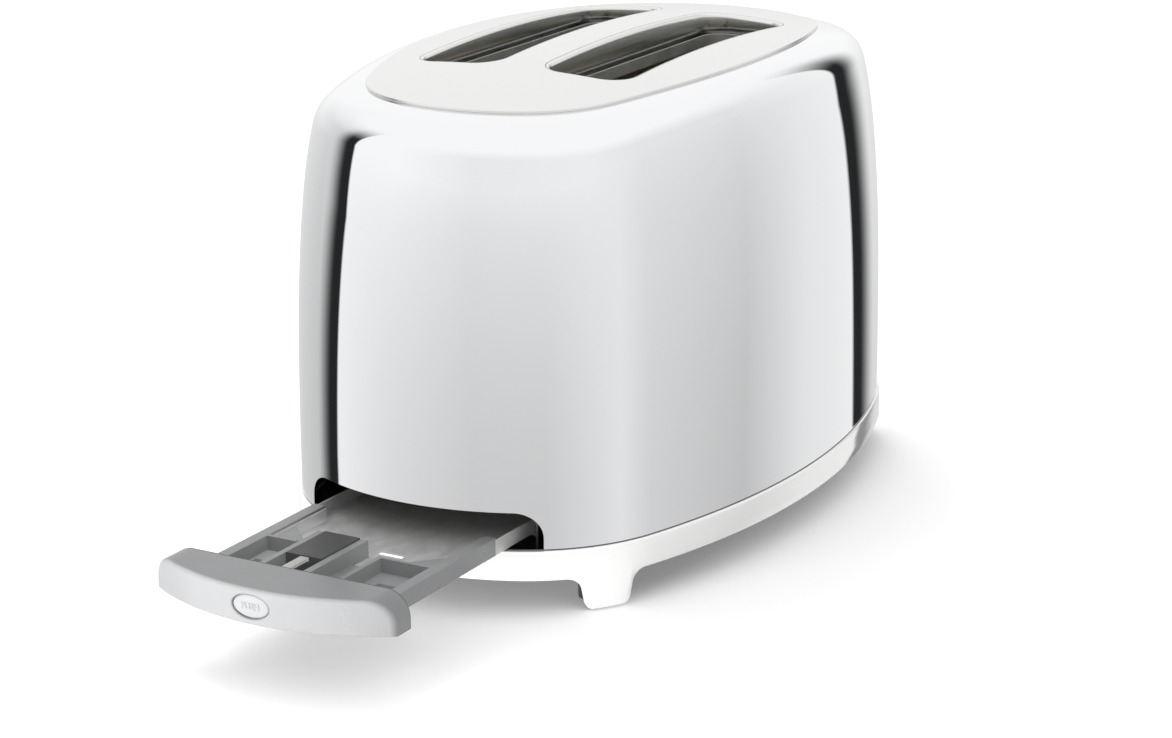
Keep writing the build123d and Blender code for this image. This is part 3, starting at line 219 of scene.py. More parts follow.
def new_piece(name, mesh, material, smooth=True):
    """An object at the origin, in the scene, with its finish."""
    piece = bpy.data.objects.new(name, mesh)
    bpy.context.scene.collection.objects.link(piece)
    if material:
        mesh.materials.clear()
        mesh.materials.append(material)
    for face in mesh.polygons:
        face.use_smooth = smooth
    return piece


def rings_mesh(rings, closed_round=True, closed_along=False):
    """Quads between rings of equal length; returns the points and faces."""
    count, rows = len(rings[0]), len(rings)
    faces = []
    for row in range(rows if closed_along else rows - 1):
        a, b = row * count, (row + 1) % rows * count
        for i in range(count if closed_round else count - 1):
            j = (i + 1) % count
            faces.append((a + i, a + j, b + j, b + i))
    return np.vstack(rings), faces


def inside(points, loops):
    """Even-odd test of points against closed loops."""
    odd = np.zeros(len(points), bool)
    for loop in loops:
        a, b = loop, np.roll(loop, -1, axis=0)
        for (x1, y1), (x2, y2) in zip(a, b):
            if y1 != y2:
                crosses = (points[:, 1] < y1) != (points[:, 1] < y2)
                at = x1 + (points[:, 1] - y1) / (y2 - y1) * (x2 - x1)
                odd ^= crosses & (points[:, 0] < at)
    return odd


def fill(loops, spacing):
    """Triangles between closed loops, with points inside about one spacing apart."""
    low, high = loops[0].min(axis=0), loops[0].max(axis=0)
    xs = np.arange(low[0] + spacing / 2, high[0], spacing)
    ys = np.arange(low[1] + spacing / 2, high[1], spacing)
    lattice = np.array([(x + (row % 2) * spacing / 2, y) for row, y in enumerate(ys) for x in xs])
    rim = np.vstack(loops)
    near = np.min(np.hypot(lattice[:, None, 0] - rim[None, :, 0],
                           lattice[:, None, 1] - rim[None, :, 1]), axis=1)
    lattice = lattice[inside(lattice, loops) & (near > spacing * 0.45)]
    edges, start = [], 0
    for loop in loops:
        edges += [(start + i, start + (i + 1) % len(loop)) for i in range(len(loop))]
        start += len(loop)
    points = np.vstack((rim, lattice))
    flat, _, faces, *_ = delaunay_2d_cdt([Vector(p) for p in points], edges, [], 0, 1e-6)
    flat = np.array([tuple(v) for v in flat])
    faces = np.array([f for f in faces if len(f) == 3])
    kept = inside(flat[faces].mean(axis=1), loops)
    return flat, [tuple(int(i) for i in f) for f in faces[kept]]


def joined(parts):
    """One list of points and faces from several."""
    points, faces, start = [], [], 0
    for some_points, some_faces in parts:
        points.append(np.asarray(some_points))
        faces += [tuple(i + start for i in face) for face in some_faces]
        start += len(some_points)
    return np.vstack(points), faces


def rounded_rectangle(length, width, corner, steps=10, long_steps=24, short_steps=6):
    """Closed anticlockwise loop about the origin."""
    hx, hy = length / 2 - corner, width / 2 - corner
    loop = []
    for qx, qy, start in ((hx, hy, 0), (-hx, hy, 90), (-hx, -hy, 180), (hx, -hy, 270)):
        for step in range(steps + 1):
            turn = radians(start + 90 * step / steps)
            loop.append((qx + corner * cos(turn), qy + corner * sin(turn)))
        run = long_steps if start in (0, 180) else short_steps
        nx, ny = {0: (-hx, hy + corner), 90: (-hx - corner, -hy),
                  180: (hx, -hy - corner), 270: (hx + corner, hy)}[start]
        last = loop[-1]
        loop += [(last[0] + (nx - last[0]) * k / run, last[1] + (ny - last[1]) * k / run)
                 for k in range(1, run)]
    return np.array(loop)


def arch_profile(half_width, top, corner, bottom, steps=12):
    """Straight-footed arch in (y, z), from the +Y foot over the top to the -Y foot."""
    points = [(half_width, bottom)]
    for step in range(steps + 1):
        turn = radians(90 * step / steps)
        points.append((half_width - corner + corner * cos(turn),
                       top - corner + corner * sin(turn)))
    for step in range(steps + 1):
        turn = radians(90 + 90 * step / steps)
        points.append((-half_width + corner + corner * cos(turn),
                       top - corner + corner * sin(turn)))
    points.append((-half_width, bottom))
    return np.array(points)


def placed(loop, x):
    """Points of a (y, z) loop with an X each."""
    return np.column_stack((np.broadcast_to(x, len(loop)), loop))


def prism(profile, start, stop, place):
    """A closed profile carried along X (place is placed) or Z (place is lifted)."""
    points, faces = rings_mesh([place(profile, at) for at in (start, stop)])
    count = len(profile)
    return points, faces + [tuple(range(count))[::-1], tuple(range(count, 2 * count))]


def cutter_x(name, profile, start, stop):
    """A (y, z) profile carried along X, as a cutter."""
    mesh = new_mesh(name, *prism(profile, start, stop, placed))
    weld(mesh)
    return new_piece(name, mesh, None)


def weld(mesh, distance=0.001, outwards=True):
    """Doubles within a distance merged, faces turned outwards."""
    work = bmesh.new()
    work.from_mesh(mesh)
    bmesh.ops.remove_doubles(work, verts=work.verts, dist=distance * MM)
    if outwards:
        bmesh.ops.recalc_face_normals(work, faces=work.faces)
    work.to_mesh(mesh)
    work.free()


def sharp_beyond(piece, angle):
    """Shades an edge sharp where its faces meet at more than the angle, in degrees."""
    piece.data.set_sharp_from_angle(angle=radians(angle))


def cut(piece, cutters):
    """Takes the cutters out of the piece and drops them."""
    for cutter in cutters:
        modifier = piece.modifiers.new("cut", "BOOLEAN")
        modifier.operation, modifier.solver, modifier.object = "DIFFERENCE", "EXACT", cutter
    settle(piece)
    for cutter in cutters:
        bpy.data.objects.remove(cutter)


def settle(piece):
    """Turns a piece's modifiers into its mesh."""
    graph = bpy.context.evaluated_depsgraph_get()
    mesh = bpy.data.meshes.new_from_object(piece.evaluated_get(graph))
    piece.modifiers.clear()
    piece.data = mesh


def normals_from(piece, references, limit=35.0):
    """Shading normals taken from uncut reference meshes, where the faces lie on them."""
    trees = []
    for mesh in references:
        corners = [v.co.copy() for v in mesh.vertices]
        polygons = [tuple(p.vertices) for p in mesh.polygons]
        trees.append((BVHTree.FromPolygons(corners, polygons), corners, polygons,
                      [v.normal.copy() for v in mesh.vertices]))
    mesh, found, floor = piece.data, {}, cos(radians(limit))
    custom = [None] * len(mesh.loops)
    for face in mesh.polygons:
        for loop in face.loop_indices:
            vertex = mesh.loops[loop].vertex_index
            if vertex not in found:
                found[vertex] = []
                for tree, corners, polygons, normals in trees:
                    spot, _, index, distance = tree.find_nearest(mesh.vertices[vertex].co)
                    if distance < 0.15 * MM:
                        ring = polygons[index]
                        weights = poly_3d_calc([corners[i] for i in ring], spot)
                        found[vertex].append(sum((normals[i] * w for i, w in zip(ring, weights)),
                                                 Vector()).normalized())
            best = [n for n in found[vertex] if n.dot(face.normal) > floor]
            custom[loop] = best[0] if best else face.normal
    mesh.normals_split_custom_set(custom)


# materials

def srgb(code):
    """A hex colour as linear numbers."""
    def linear(value):
        return value / 12.92 if value <= 0.04045 else ((value + 0.055) / 1.055) ** 2.4
    return [linear(int(code[i:i + 2], 16) / 255) for i in (1, 3, 5)] + [1.0]


def add_node(tree, kind, inputs=(), **settings):
    """A node with its settings; an input is a value or another node's output."""
    node = tree.nodes.new(kind)
    for name, value in settings.items():
        setattr(node, name, value)
    for name, value in dict(inputs).items():
        if isinstance(value, bpy.types.NodeSocket):
            tree.links.new(value, node.inputs[name])
        else:
            node.inputs[name].default_value = value
    return node


def grain(tree, place, scale, detail=3.0, rough=0.6):
    """Noise stretched by a scale in each direction, in cycles per metre."""
    mapping = add_node(tree, "ShaderNodeMapping", {"Vector": place, "Scale": scale})
    return add_node(tree, "ShaderNodeTexNoise", {"Vector": mapping.outputs[0], "Scale": 1.0,
                                                 "Detail": detail, "Roughness": rough}).outputs[0]


def finish(name, color, metallic, gloss, pattern, dark=None, bump=None, skin=None):
    """A material whose grain spreads its roughness, and its colour down to a dark shade.

    A bump, as its depth in millimetres and its strength, follows the grain or its own skin.
    """
    material = bpy.data.materials.new(name)
    material.use_nodes = True
    tree = material.node_tree
    tree.nodes.clear()
    body = add_node(tree, "ShaderNodeBsdfPrincipled", {
        "Base Color": srgb(color), "Metallic": metallic, "Roughness": gloss[0]})
    add_node(tree, "ShaderNodeOutputMaterial", {"Surface": body.outputs[0]})
    place = add_node(tree, "ShaderNodeTexCoord").outputs["Object"]
    marks = grain(tree, place, *pattern)
    spread = add_node(tree, "ShaderNodeMapRange", {
        "Value": marks, "From Min": 0.3, "From Max": 0.7, "To Min": gloss[0], "To Max": gloss[1]})
    tree.links.new(spread.outputs[0], body.inputs["Roughness"])
    if dark:
        shade = add_node(tree, "ShaderNodeMix", {"Factor": marks, 6: srgb(dark), 7: srgb(color)},
                         data_type="RGBA")
        tree.links.new(shade.outputs[2], body.inputs["Base Color"])
    if bump:
        relief = add_node(tree, "ShaderNodeBump", {
            "Height": grain(tree, place, *skin) if skin else marks,
            "Distance": bump[0] * MM, "Strength": bump[1]})
        tree.links.new(relief.outputs[0], body.inputs["Normal"])
    return material


def polished_steel(name, color="#F6F7F8", gloss=(0.02, 0.045), metallic=1.0):
    """Mirror-polished stainless steel: a near-perfect mirror, a breath of haze in wide patches."""
    return finish(name, color, metallic, gloss, [(9, 9, 9)])


def brushed_steel(name, color, along=(14, 1500, 1500), gloss=(0.24, 0.36), depth=0.004):
    """Stainless steel rubbed with a fine belt: hair lines along one way, satin gloss."""
    return finish(name, color, 1.0, gloss, (along, 4.0, 0.7), bump=depth and (depth, 0.5))


def mill_steel(name, dark, pale, gloss=(0.28, 0.45), scale=(120, 120, 120), metallic=1.0):
    """Sheet steel as rolled or aluminised: cloudy grey, mottled in spots of about 8 mm."""
    return finish(name, pale, metallic, gloss, (scale, 5.0, 0.65), dark, (0.01, 0.4))


def moulded_plastic(name, color, rough=0.35, metallic=0.0, depth=0.01):
    """Injection-moulded plastic: even colour, on it a very fine spark-eroded skin."""
    return finish(name, color, metallic, (rough - 0.03, rough + 0.04), [(90, 90, 90)],
                  bump=depth and (depth, 0.2), skin=((2600, 2600, 2600), 2.0, 0.5))


# each material slot's finish; the metals in the oven are dulled, as heat and handling leave them
FINISHES = {
    "polished_shell": polished_steel("mirror_polished_stainless"),
    "chrome_skirt": polished_steel("bright_chrome_band", "#F4F4F3", (0.05, 0.1), 0.6),
    "brushed_panel": brushed_steel("belt_brushed_stainless", "#ECECEA", (10, 900, 900),
                                   (0.2, 0.28), 0),
    "chassis_steel": mill_steel("aluminised_sheet", "#9A9A96", "#C0C0BC", (0.28, 0.45),
                                (120, 120, 120), 0.7),
    "reflector_steel": mill_steel("bright_aluminised_sheet", "#B6B6B2", "#D8D8D4",
                                  (0.28, 0.45), (120, 120, 120), 0.7),
    "pan_steel": mill_steel("satin_pan_sheet", "#A8A8A7", "#D8D8D7", (0.35, 0.5),
                            (110, 260, 260), 0.35),
    "runner_steel": mill_steel("plain_runner_sheet", "#8A8A88", "#AEAEAC"),
    "rack_steel": mill_steel("plated_strip", "#A0A09E", "#C4C4C2", (0.2, 0.32)),
    "keeper_iron": mill_steel("soft_iron", "#4A4A4A", "#6A6A68", (0.4, 0.6)),
    "rod_steel": brushed_steel("ground_rod", "#D0D0D0", (900, 900, 30), (0.12, 0.2)),
    "spring_steel": mill_steel("spring_wire", "#70706E", "#92928F", (0.25, 0.4)),
    "guard_wire": mill_steel("plated_wire", "#9A9A98", "#BEBEBB", (0.22, 0.36)),
    "heating_ribbon": mill_steel("oxidised_ribbon", "#4E4640", "#7A7068", (0.4, 0.6)),
    "brass_bar": mill_steel("plain_brass", "#A88A46", "#C8AC62", (0.3, 0.45)),
    "pot_metal": mill_steel("pressed_can", "#8C8C8C", "#B0B0B0"),
    "zinc_screw": mill_steel("zinc_plate", "#A0A29E", "#C4C6C2", (0.22, 0.35)),
    "satin_panel": brushed_steel("satin_control_bar", "#C9C9C8", (1500, 20, 1500)),
    "satin_dial": brushed_steel("turned_dial", "#D2D2D1", (30, 900, 900), (0.2, 0.3)),
    "chrome_key": polished_steel("chromed_key", "#E6E6E6", (0.06, 0.12)),
    "chrome_ball": polished_steel("chromed_knob", "#EDEDED", (0.04, 0.08)),
    # silver-filled ABS, sprayed and even, so it has no skin to be seen
    "tray_plastic": moulded_plastic("silver_abs", "#808182", 0.3, 0.2, 0),
    "button_plastic": moulded_plastic("silver_abs_button", "#8E8F90", 0.22, 0.3, 0),
    "latch_plastic": moulded_plastic("dark_acetal", "#2A2B2C", 0.4, 0.0, 0.004),
    "black_base": moulded_plastic("black_polypropylene", "#1C1C1E", 0.5),
    "foot_rubber": moulded_plastic("foot_rubber", "#222224", 0.75, 0.0, 0.03),
    "bush_rubber": moulded_plastic("bush_rubber", "#1A1A1B", 0.7, 0.0, 0.03),
    "switch_plastic": moulded_plastic("black_phenolic", "#242426", 0.4),
    "terminal_plastic": moulded_plastic("natural_nylon", "#DAD6C8", 0.45),
    "coil_tape": moulded_plastic("varnished_tape", "#8A6A2A", 0.3),
    "board_laminate": moulded_plastic("paper_laminate", "#9A7E46", 0.5),
    # muscovite mica board: pearly flakes of about 5 mm, pressed in a sheet
    "mica": finish("mica_board", "#CFC7B2", 0.15, (0.22, 0.5), ((220, 220, 220), 6.0, 0.75),
                   "#8E8470"),
}


body_of_node = {node: body for body, nodes in frame["record"]["behaviour"]["bodies"].items()
                for node in nodes}
slot_of_node = {s["node"]: s["material_slot"] for s in frame["record"]["subparts"]}


def ride_with(piece, node):
    """The piece rides on a node's body; mirrors don't show the open tray."""
    body = body_of_node[node]
    piece.visible_glossy = body not in ("crumb_tray", "tray_release")
    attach(piece, body)


def stand_for(piece, node):
    """The piece rides, and the node it stands for is hidden."""
    ride_with(piece, node)
    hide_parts(node)


# outer shell

def shell_rings(wall):
    """Rings from the foot of the wall over the shoulder to the panel's seat."""
    wall_rows, shoulder_rows, seat_rows = 30, 14, 8
    drop, radius = PANEL_SHEET + wall, SHOULDER - wall

    def wall_ring(rise):
        return oval_ring(BODY, lean_end(rise) + wall, lean_side(rise) + wall)

    levels = np.linspace(0, RISE * 0.96, 97)
    table = [wall_ring(level) for level in levels]
    places = np.array([ring for ring, _ in table])
    normals = table[0][1]
    inward = -np.einsum("lkd,kd->lk", places - places[0], normals)
    slope = np.gradient(inward, levels, axis=0)
    lean = np.arctan(slope)
    centre_xy = places - normals * (radius * np.cos(lean))[..., None]
    centre_z = SHELL_BOTTOM + levels[:, None] - radius * np.sin(lean)
    miss = centre_z - crown_height(centre_xy, drop + radius)
    count = len(normals)
    meet = np.zeros(count)
    for k in range(count):
        row = int(np.argmax(miss[:, k] > 0))
        share = -miss[row - 1, k] / (miss[row, k] - miss[row - 1, k])
        meet[k] = levels[row - 1] + share * (levels[row] - levels[row - 1])

    def at_height(rise_of_station):
        out = np.zeros((count, 3))
        spot = rise_of_station / levels[1]
        row = np.clip(spot.astype(int), 0, len(levels) - 2)
        share = (spot - row)[:, None]
        k = np.arange(count)
        out[:, :2] = places[row, k] * (1 - share) + places[row + 1, k] * share
        out[:, 2] = SHELL_BOTTOM + rise_of_station
        tilt = lean[row, k] * (1 - share[:, 0]) + lean[row + 1, k] * share[:, 0]
        return out, tilt

    rings = [at_height(SEAM + (meet - SEAM) * row / wall_rows)[0] for row in range(wall_rows + 1)]
    touch, tilt = at_height(meet)
    centre = touch.copy()
    centre[:, :2] -= normals * (radius * np.cos(tilt))[:, None]
    centre[:, 2] -= radius * np.sin(tilt)
    start = (touch - centre) / radius
    stop = crown_normal(centre[:, :2], drop + radius)
    angle = np.arccos(np.clip(np.einsum("kd,kd->k", start, stop), -1, 1))[:, None]
    for row in range(1, shoulder_rows + 1):
        share = row / shoulder_rows
        mixed = (start * np.sin((1 - share) * angle) + stop * np.sin(share * angle)) / np.sin(angle)
        rings.append(centre + radius * mixed)
    seat = oval_ring(PANEL, PANEL_OVERLAP)[0]
    edge = rings[-1][:, :2]
    for row in range(1, seat_rows + 1):
        xy = edge + (seat - edge) * row / seat_rows
        rings.append(lifted(xy, crown_height(xy, drop)))
    return rings


def make_shell():
    """One sheet with the tray's mouth, the control arch and the lever's slot cut out of it."""
    outer, inner = shell_rings(0.0), shell_rings(SHELL_WALL)
    points, faces = rings_mesh(outer + inner[::-1], closed_along=True)
    shell = new_piece("shell", new_mesh("shell", points, faces), FINISHES["polished_shell"])
    references = []
    for name, rings in (("outside", outer), ("inside", inner[::-1])):
        references.append(new_mesh(name, *rings_mesh(rings)))
    mouth = arch_profile(MOUTH["half_width"], SHELL_BOTTOM + MOUTH["height"], MOUTH["corner"],
                         SHELL_BOTTOM - 5)
    control = arch_profile(CONTROL_ARCH["half_width"], SHELL_BOTTOM + CONTROL_ARCH["height"],
                           CONTROL_ARCH["corner"], SHELL_BOTTOM - 5)
    half = LEVER_SLOT["width"] / 2
    turns = [radians(a) for a in range(0, 181, 15)]
    lever = [(half * cos(t), LEVER_SLOT["high"] - half + half * sin(t)) for t in turns]
    lever += [(-half * cos(t), LEVER_SLOT["low"] + half - half * sin(t)) for t in turns]
    far = BODY["half_length"]
    cut(shell, [cutter_x("mouth", mouth, -far - 20, -far + 60),
                cutter_x("control", control, far - 60, far + 20),
                cutter_x("lever", np.array(lever), far - 60, far + 20)])
    shell.data.materials.clear()
    shell.data.materials.append(FINISHES["polished_shell"])
    normals_from(shell, references)
    stand_for(shell, "outer_shell")


make_shell()


# top panel

def slot_loop(side, grow):
    """Outline of the near (-1) or the far (1) bread slot, grown all round."""
    loop = rounded_rectangle(SLOT["length"] + 2 * grow, SLOT["width"] + 2 * grow,
                             SLOT["corner"] + grow)
    return loop + (SLOT["shift"], side * SLOT["pitch"] / 2)


def make_panel():
    """Satin plate crowned both ways, its rim rounded and its slot lips rolled down."""
    bend, rim_round, count, lattice, on_crown = 1.8, 0.45, 6, 6.0, 0.01
    turns = [pi / 2 * k / count for k in range(count + 1)]
    holes = [slot_loop(side, bend) for side in (-1, 1)]
    flat, faces = fill([oval_ring(PANEL, rim_round)[0]] + holes, lattice)
    parts = [(lifted(flat, crown_height(flat)), faces)]
    for side in (-1, 1):
        rings = []
        for turn in turns:
            loop = slot_loop(side, bend * (1 - sin(turn)))
            rings.append(lifted(loop, crown_height(loop) - bend * (1 - cos(turn))))
        for grow, height in ((0, COLLAR_TOP), (0, COLLAR_BOTTOM), (COLLAR_WALL, COLLAR_BOTTOM),
                             (COLLAR_WALL, COLLAR_TOP)):
            rings.append(lifted(slot_loop(side, grow), height))
        parts.append(rings_mesh([ring[::-1] for ring in rings]))
    # rounded rim and the return under the plate
    rings = []
    insets = [(rim_round * (1 - sin(turn)), rim_round * (1 - cos(turn))) for turn in turns]
    for inset, fall in insets + [(0, PANEL_SHEET), (PANEL_OVERLAP, PANEL_SHEET)]:
        ring = oval_ring(PANEL, inset)[0]
        rings.append(lifted(ring, crown_height(ring) - fall))
    parts.append(rings_mesh([ring[::-1] for ring in rings]))
    mesh = new_mesh("panel", *joined(parts))
    piece = new_piece("slot_panel", mesh, FINISHES["brushed_panel"])
    weld(mesh, 0.01, outwards=False)
    # what lies on the crown is shaded as the crown, up to the edges of the slots
    normals = []
    for loop in mesh.loops:
        vertex = mesh.vertices[loop.vertex_index]
        spot = np.array(vertex.co) / MM
        flush = crown_height(spot[:2]) - spot[2] < on_crown
        normals.append(crown_normal(spot[:2]) if flush else vertex.normal)
    mesh.normals_split_custom_set(normals)
    stand_for(piece, "top_panel")


make_panel()


# foot band with its four feet

def make_skirt():
    """One curved wall whose lower edge runs down into the feet."""
    outer, normals = oval_ring(BODY, -SKIRT_PROUD)
    closed = np.vstack((outer, outer[:1]))
    lengths = np.concatenate(([0], np.cumsum(np.hypot(*np.diff(closed, axis=0).T))))
    total = lengths[-1]
    # lower edge beside a foot: concave flare, slanting side, convex corner
    slant = atan2(FOOT["taper"], SKIRT_BOTTOM - FOOT["bottom"])
    wide, flare, round_ = FOOT["half_width"], FOOT["flare"], FOOT["corner"]
    profile = []
    reach = flare * (1 - sin(slant)) / cos(slant)
    for step in range(9):
        turn = (pi / 2 - slant) * step / 8
        profile.append((wide + reach - flare * sin(turn), SKIRT_BOTTOM - flare * (1 - cos(turn))))
    low_x = wide - FOOT["taper"]
    reach = round_ * (1 - sin(slant)) / cos(slant)
    for step in range(9):
        turn = (pi / 2 - slant) * (1 - step / 8)
        profile.append((low_x - reach + round_ * sin(turn),
                        FOOT["bottom"] + round_ * (1 - cos(turn))))
    marks = []
    for foot_x, foot_y in [(x, s * y) for x, y in FEET for s in (-1, 1)]:
        spot = int(np.argmin(np.hypot(outer[:, 0] - foot_x, outer[:, 1] - foot_y)))
        marks.append(lengths[spot])
    stations = {}
    for mark in marks:
        for away, height in profile:
            for side in (-1, 1):
                stations[round((mark + side * away) % total, 4)] = height
        for step in range(-3, 4):
            stations[round((mark + step * (low_x - 3) / 4) % total, 4)] = FOOT["bottom"]
    for at in lengths[:-1]:
        gap = min(min(abs(at - m), total - abs(at - m)) for m in marks)
        if gap > profile[0][0] + 1:
            stations[round(at, 4)] = SKIRT_BOTTOM
    keys = np.array(sorted(stations))
    lows = np.array([stations[k] for k in keys])
    xy = np.column_stack([np.interp(keys, lengths, closed[:, i]) for i in (0, 1)])
    closed_n = np.vstack((normals, normals[:1]))
    out = np.column_stack([np.interp(keys, lengths, closed_n[:, i]) for i in (0, 1)])
    out /= np.linalg.norm(out, axis=1, keepdims=True)
    top, top_round, low_round = SHELL_BOTTOM, 0.9, 0.7
    rings = []

    def ring(inset, heights):
        rings.append(np.column_stack((xy - out * inset, np.broadcast_to(heights, len(xy)))))

    for step in range(4):
        turn = pi / 2 * step / 3
        ring(low_round * (1 - sin(turn)), lows + low_round * (1 - cos(turn)))
    for share in (0.35, 0.7):
        ring(0, lows + (top - lows) * share)
    for step in range(5):
        turn = pi / 2 * step / 4
        ring(top_round * (1 - cos(turn)), top - top_round + top_round * sin(turn))
    ring(SKIRT_WALL, top)
    ring(SKIRT_WALL, lows)
    points, faces = rings_mesh(rings, closed_along=True)
    piece = new_piece("foot_band", new_mesh("foot_band", points, faces),
                      FINISHES["chrome_skirt"])
    sharp_beyond(piece, 50)
    stand_for(piece, "base_skirt")


make_skirt()


# crumb tray: moulded bar with its button, and the frame behind it

def front_x(y):
    """Where the bowed front of the bar stands; it has the body's own outline."""
    ring = oval_ring(BODY)[0]
    ring = ring[(ring[:, 0] < 0) & (np.abs(ring[:, 1]) < 70)]
    order = np.argsort(ring[:, 1])
    return np.interp(y, ring[order, 1], ring[order, 0]) - TRAY_OUT


def bar_loop(inset, foot):
    """The bar's closed outline in (y, z), drawn in by an inset and lifted at its foot."""
    arc = 13
    arch = arch_profile(HANDLE["half"] - inset, HANDLE["top"] - inset,
                        max(HANDLE["corner"] - inset, 0.5), HANDLE["bottom"] + foot)
    over = arch[1:-1]
    top_run = np.linspace(over[arc - 1], over[arc], 30)[1:-1]
    low_run = np.linspace(arch[-1], arch[0], 36)[1:-1]
    side = [np.linspace(arch[0], arch[1], 4)[:-1], np.linspace(arch[-2], arch[-1], 4)[1:]]
    return np.vstack((side[0], over[:arc], top_run, over[arc:], side[1], low_run))


def oval_loop(grow, steps=56):
    """The button's oval in (y, z), grown all round."""
    turns = 2 * pi * np.arange(steps) / steps
    return np.column_stack(((BUTTON["length"] / 2 + grow) * np.cos(turns),
                            BUTTON["z"] + (BUTTON["height"] / 2 + grow) * np.sin(turns)))


def make_bar():
    """Bowed bar with a rounded front edge, a sunk oval for the button and a plain back."""
    edge, low_edge, edge_rows, back_round = HANDLE["edge"], HANDLE["low_edge"], 8, 0.6
    rings = []
    for inset, before in ((back_round, 0), (0.18, 0.18), (0, back_round)):
        rings.append(placed(bar_loop(inset, inset), HANDLE_BACK - before))
    full = bar_loop(0, 0)
    start = HANDLE_BACK - back_round
    for share in (0.33, 0.66):
        rings.append(placed(full, start + (front_x(full[:, 0]) + edge - start) * share))
    for row in range(edge_rows + 1):
        turn = pi / 2 * row / edge_rows
        loop = bar_loop(edge * (1 - cos(turn)), low_edge * (1 - cos(turn)))
        rings.append(placed(loop, front_x(loop[:, 0]) + edge * (1 - sin(turn))))
    parts = [rings_mesh(rings)]
    gap, lip, floor = BUTTON["gap"], BUTTON["lip"], front_x(0) + BUTTON["pocket"]
    flat, faces = fill([bar_loop(edge, low_edge), oval_loop(gap + lip)], 2.6)
    parts.append((placed(flat, front_x(flat[:, 0])), [face[::-1] for face in faces]))
    rings = []
    for row in range(6):
        turn = pi / 2 * row / 5
        loop = oval_loop(gap + lip * (1 - sin(turn)))
        rings.append(placed(loop, front_x(loop[:, 0]) + lip * (1 - cos(turn))))
    middle, bore = (0, BUTTON["z"]), BUTTON["bore"]
    hole = (oval_loop(0) - middle) * (bore / BUTTON["length"], bore / BUTTON["height"]) + middle
    rings += [placed(oval_loop(gap), floor), placed(hole, floor)]
    parts.append(rings_mesh(rings))
    flat, faces = fill([bar_loop(back_round, back_round)], 6.0)
    parts.append((placed(flat, HANDLE_BACK), faces))
    mesh = new_mesh("bar", *joined(parts))
    weld(mesh)
    return mesh


def curve_mesh(name, curve):
    """A curve or a text as a mesh."""
    holder = bpy.data.objects.new(name, curve)
    bpy.context.scene.collection.objects.link(holder)
    graph = bpy.context.evaluated_depsgraph_get()
    mesh = bpy.data.meshes.new_from_object(holder.evaluated_get(graph))
    bpy.data.objects.remove(holder)
    return mesh


def clean_copy(node, beyond=None):
    """A node's own mesh, doubles merged and flat faces joined, kept beyond an X."""
    work = bmesh.new()
    work.from_mesh(frame["nodes"][node].data)
    bmesh.ops.remove_doubles(work, verts=work.verts, dist=1e-6)
    bmesh.ops.dissolve_limit(work, angle_limit=radians(0.5), verts=work.verts, edges=work.edges)
    if beyond is not None:
        bmesh.ops.bisect_plane(work, geom=[*work.verts, *work.edges, *work.faces],
                               plane_co=(beyond * MM, 0, 0), plane_no=(1, 0, 0),
                               clear_inner=True)
    mesh = bpy.data.meshes.new(node)
    work.to_mesh(mesh)
    work.free()
    return mesh


def soften(name, mesh, material, width, segments=2, sharp=50):
    """A piece whose sheared or moulded edges are rounded over by a width."""
    piece = new_piece(name, mesh, material)
    edges = piece.modifiers.new("edges", "BEVEL")
    edges.width, edges.segments = width * MM, segments
    edges.limit_method, edges.angle_limit = "ANGLE", radians(38)
    settle(piece)
    piece.data.set_sharp_from_angle(angle=radians(sharp))
    shade = piece.modifiers.new("shade", "WEIGHTED_NORMAL")
    shade.keep_sharp = True
    settle(piece)
    return piece


def make_tray():
    """Bar and frame of arms, ribs and pockets are one moulding, braced by sloping webs."""
    material = FINISHES["tray_plastic"]
    behind_bar = HANDLE_BACK - 0.02
    stand_for(soften("tray_frame", clean_copy("tray_handle", behind_bar), material, 0.35),
              "tray_handle")
    ride_with(soften("tray_bar", make_bar(), material, 0.05, 1), "tray_handle")
    webs = [prism(np.array(WEB["plan"]) * (1, side), WEB["low"], WEB["high"], lifted)
            for side in (-1, 1)]
    mesh = new_mesh("webs", *joined(webs))
    weld(mesh)
    ride_with(soften("tray_webs", mesh, material, 0.3), "tray_handle")


def make_button():
    """Domed oval cap on its stem."""
    face, rim, middle = HANDLE_FRONT + BUTTON["sunk"], BUTTON["rim"], (0, BUTTON["z"])
    rings = [placed(oval_loop(-0.05), face + BUTTON["depth"]),
             placed(oval_loop(0), face + BUTTON["depth"] - 0.2)]
    for row in range(7):
        turn = pi / 2 * row / 6
        rings.append(placed(oval_loop(-rim * (1 - cos(turn))), face + rim * (1 - sin(turn))))
    for share in (0.85, 0.65, 0.45, 0.25, 0.08):
        loop = (oval_loop(-rim) - middle) * share + middle
        rings.append(placed(loop, face - BUTTON["dome"] * (1 - share ** 2)))
    points, faces = rings_mesh(rings)
    faces.append(tuple(range(len(points) - len(rings[-1]), len(points))))
    turns = np.linspace(0, 2 * pi, 24, False)
    stem = np.column_stack((BUTTON["stem"] * np.cos(turns),
                            BUTTON["z"] + BUTTON["stem"] * np.sin(turns)))
    ends = [placed(stem, x) for x in (face + BUTTON["depth"] - 0.1, BUTTON["stem_end"])]
    mesh = new_mesh("button", *joined([(points, faces), rings_mesh(ends)]))
    weld(mesh)
    piece = new_piece("push_cap", mesh, FINISHES["button_plastic"])
    sharp_beyond(piece, 45)
    stand_for(piece, "push_button")


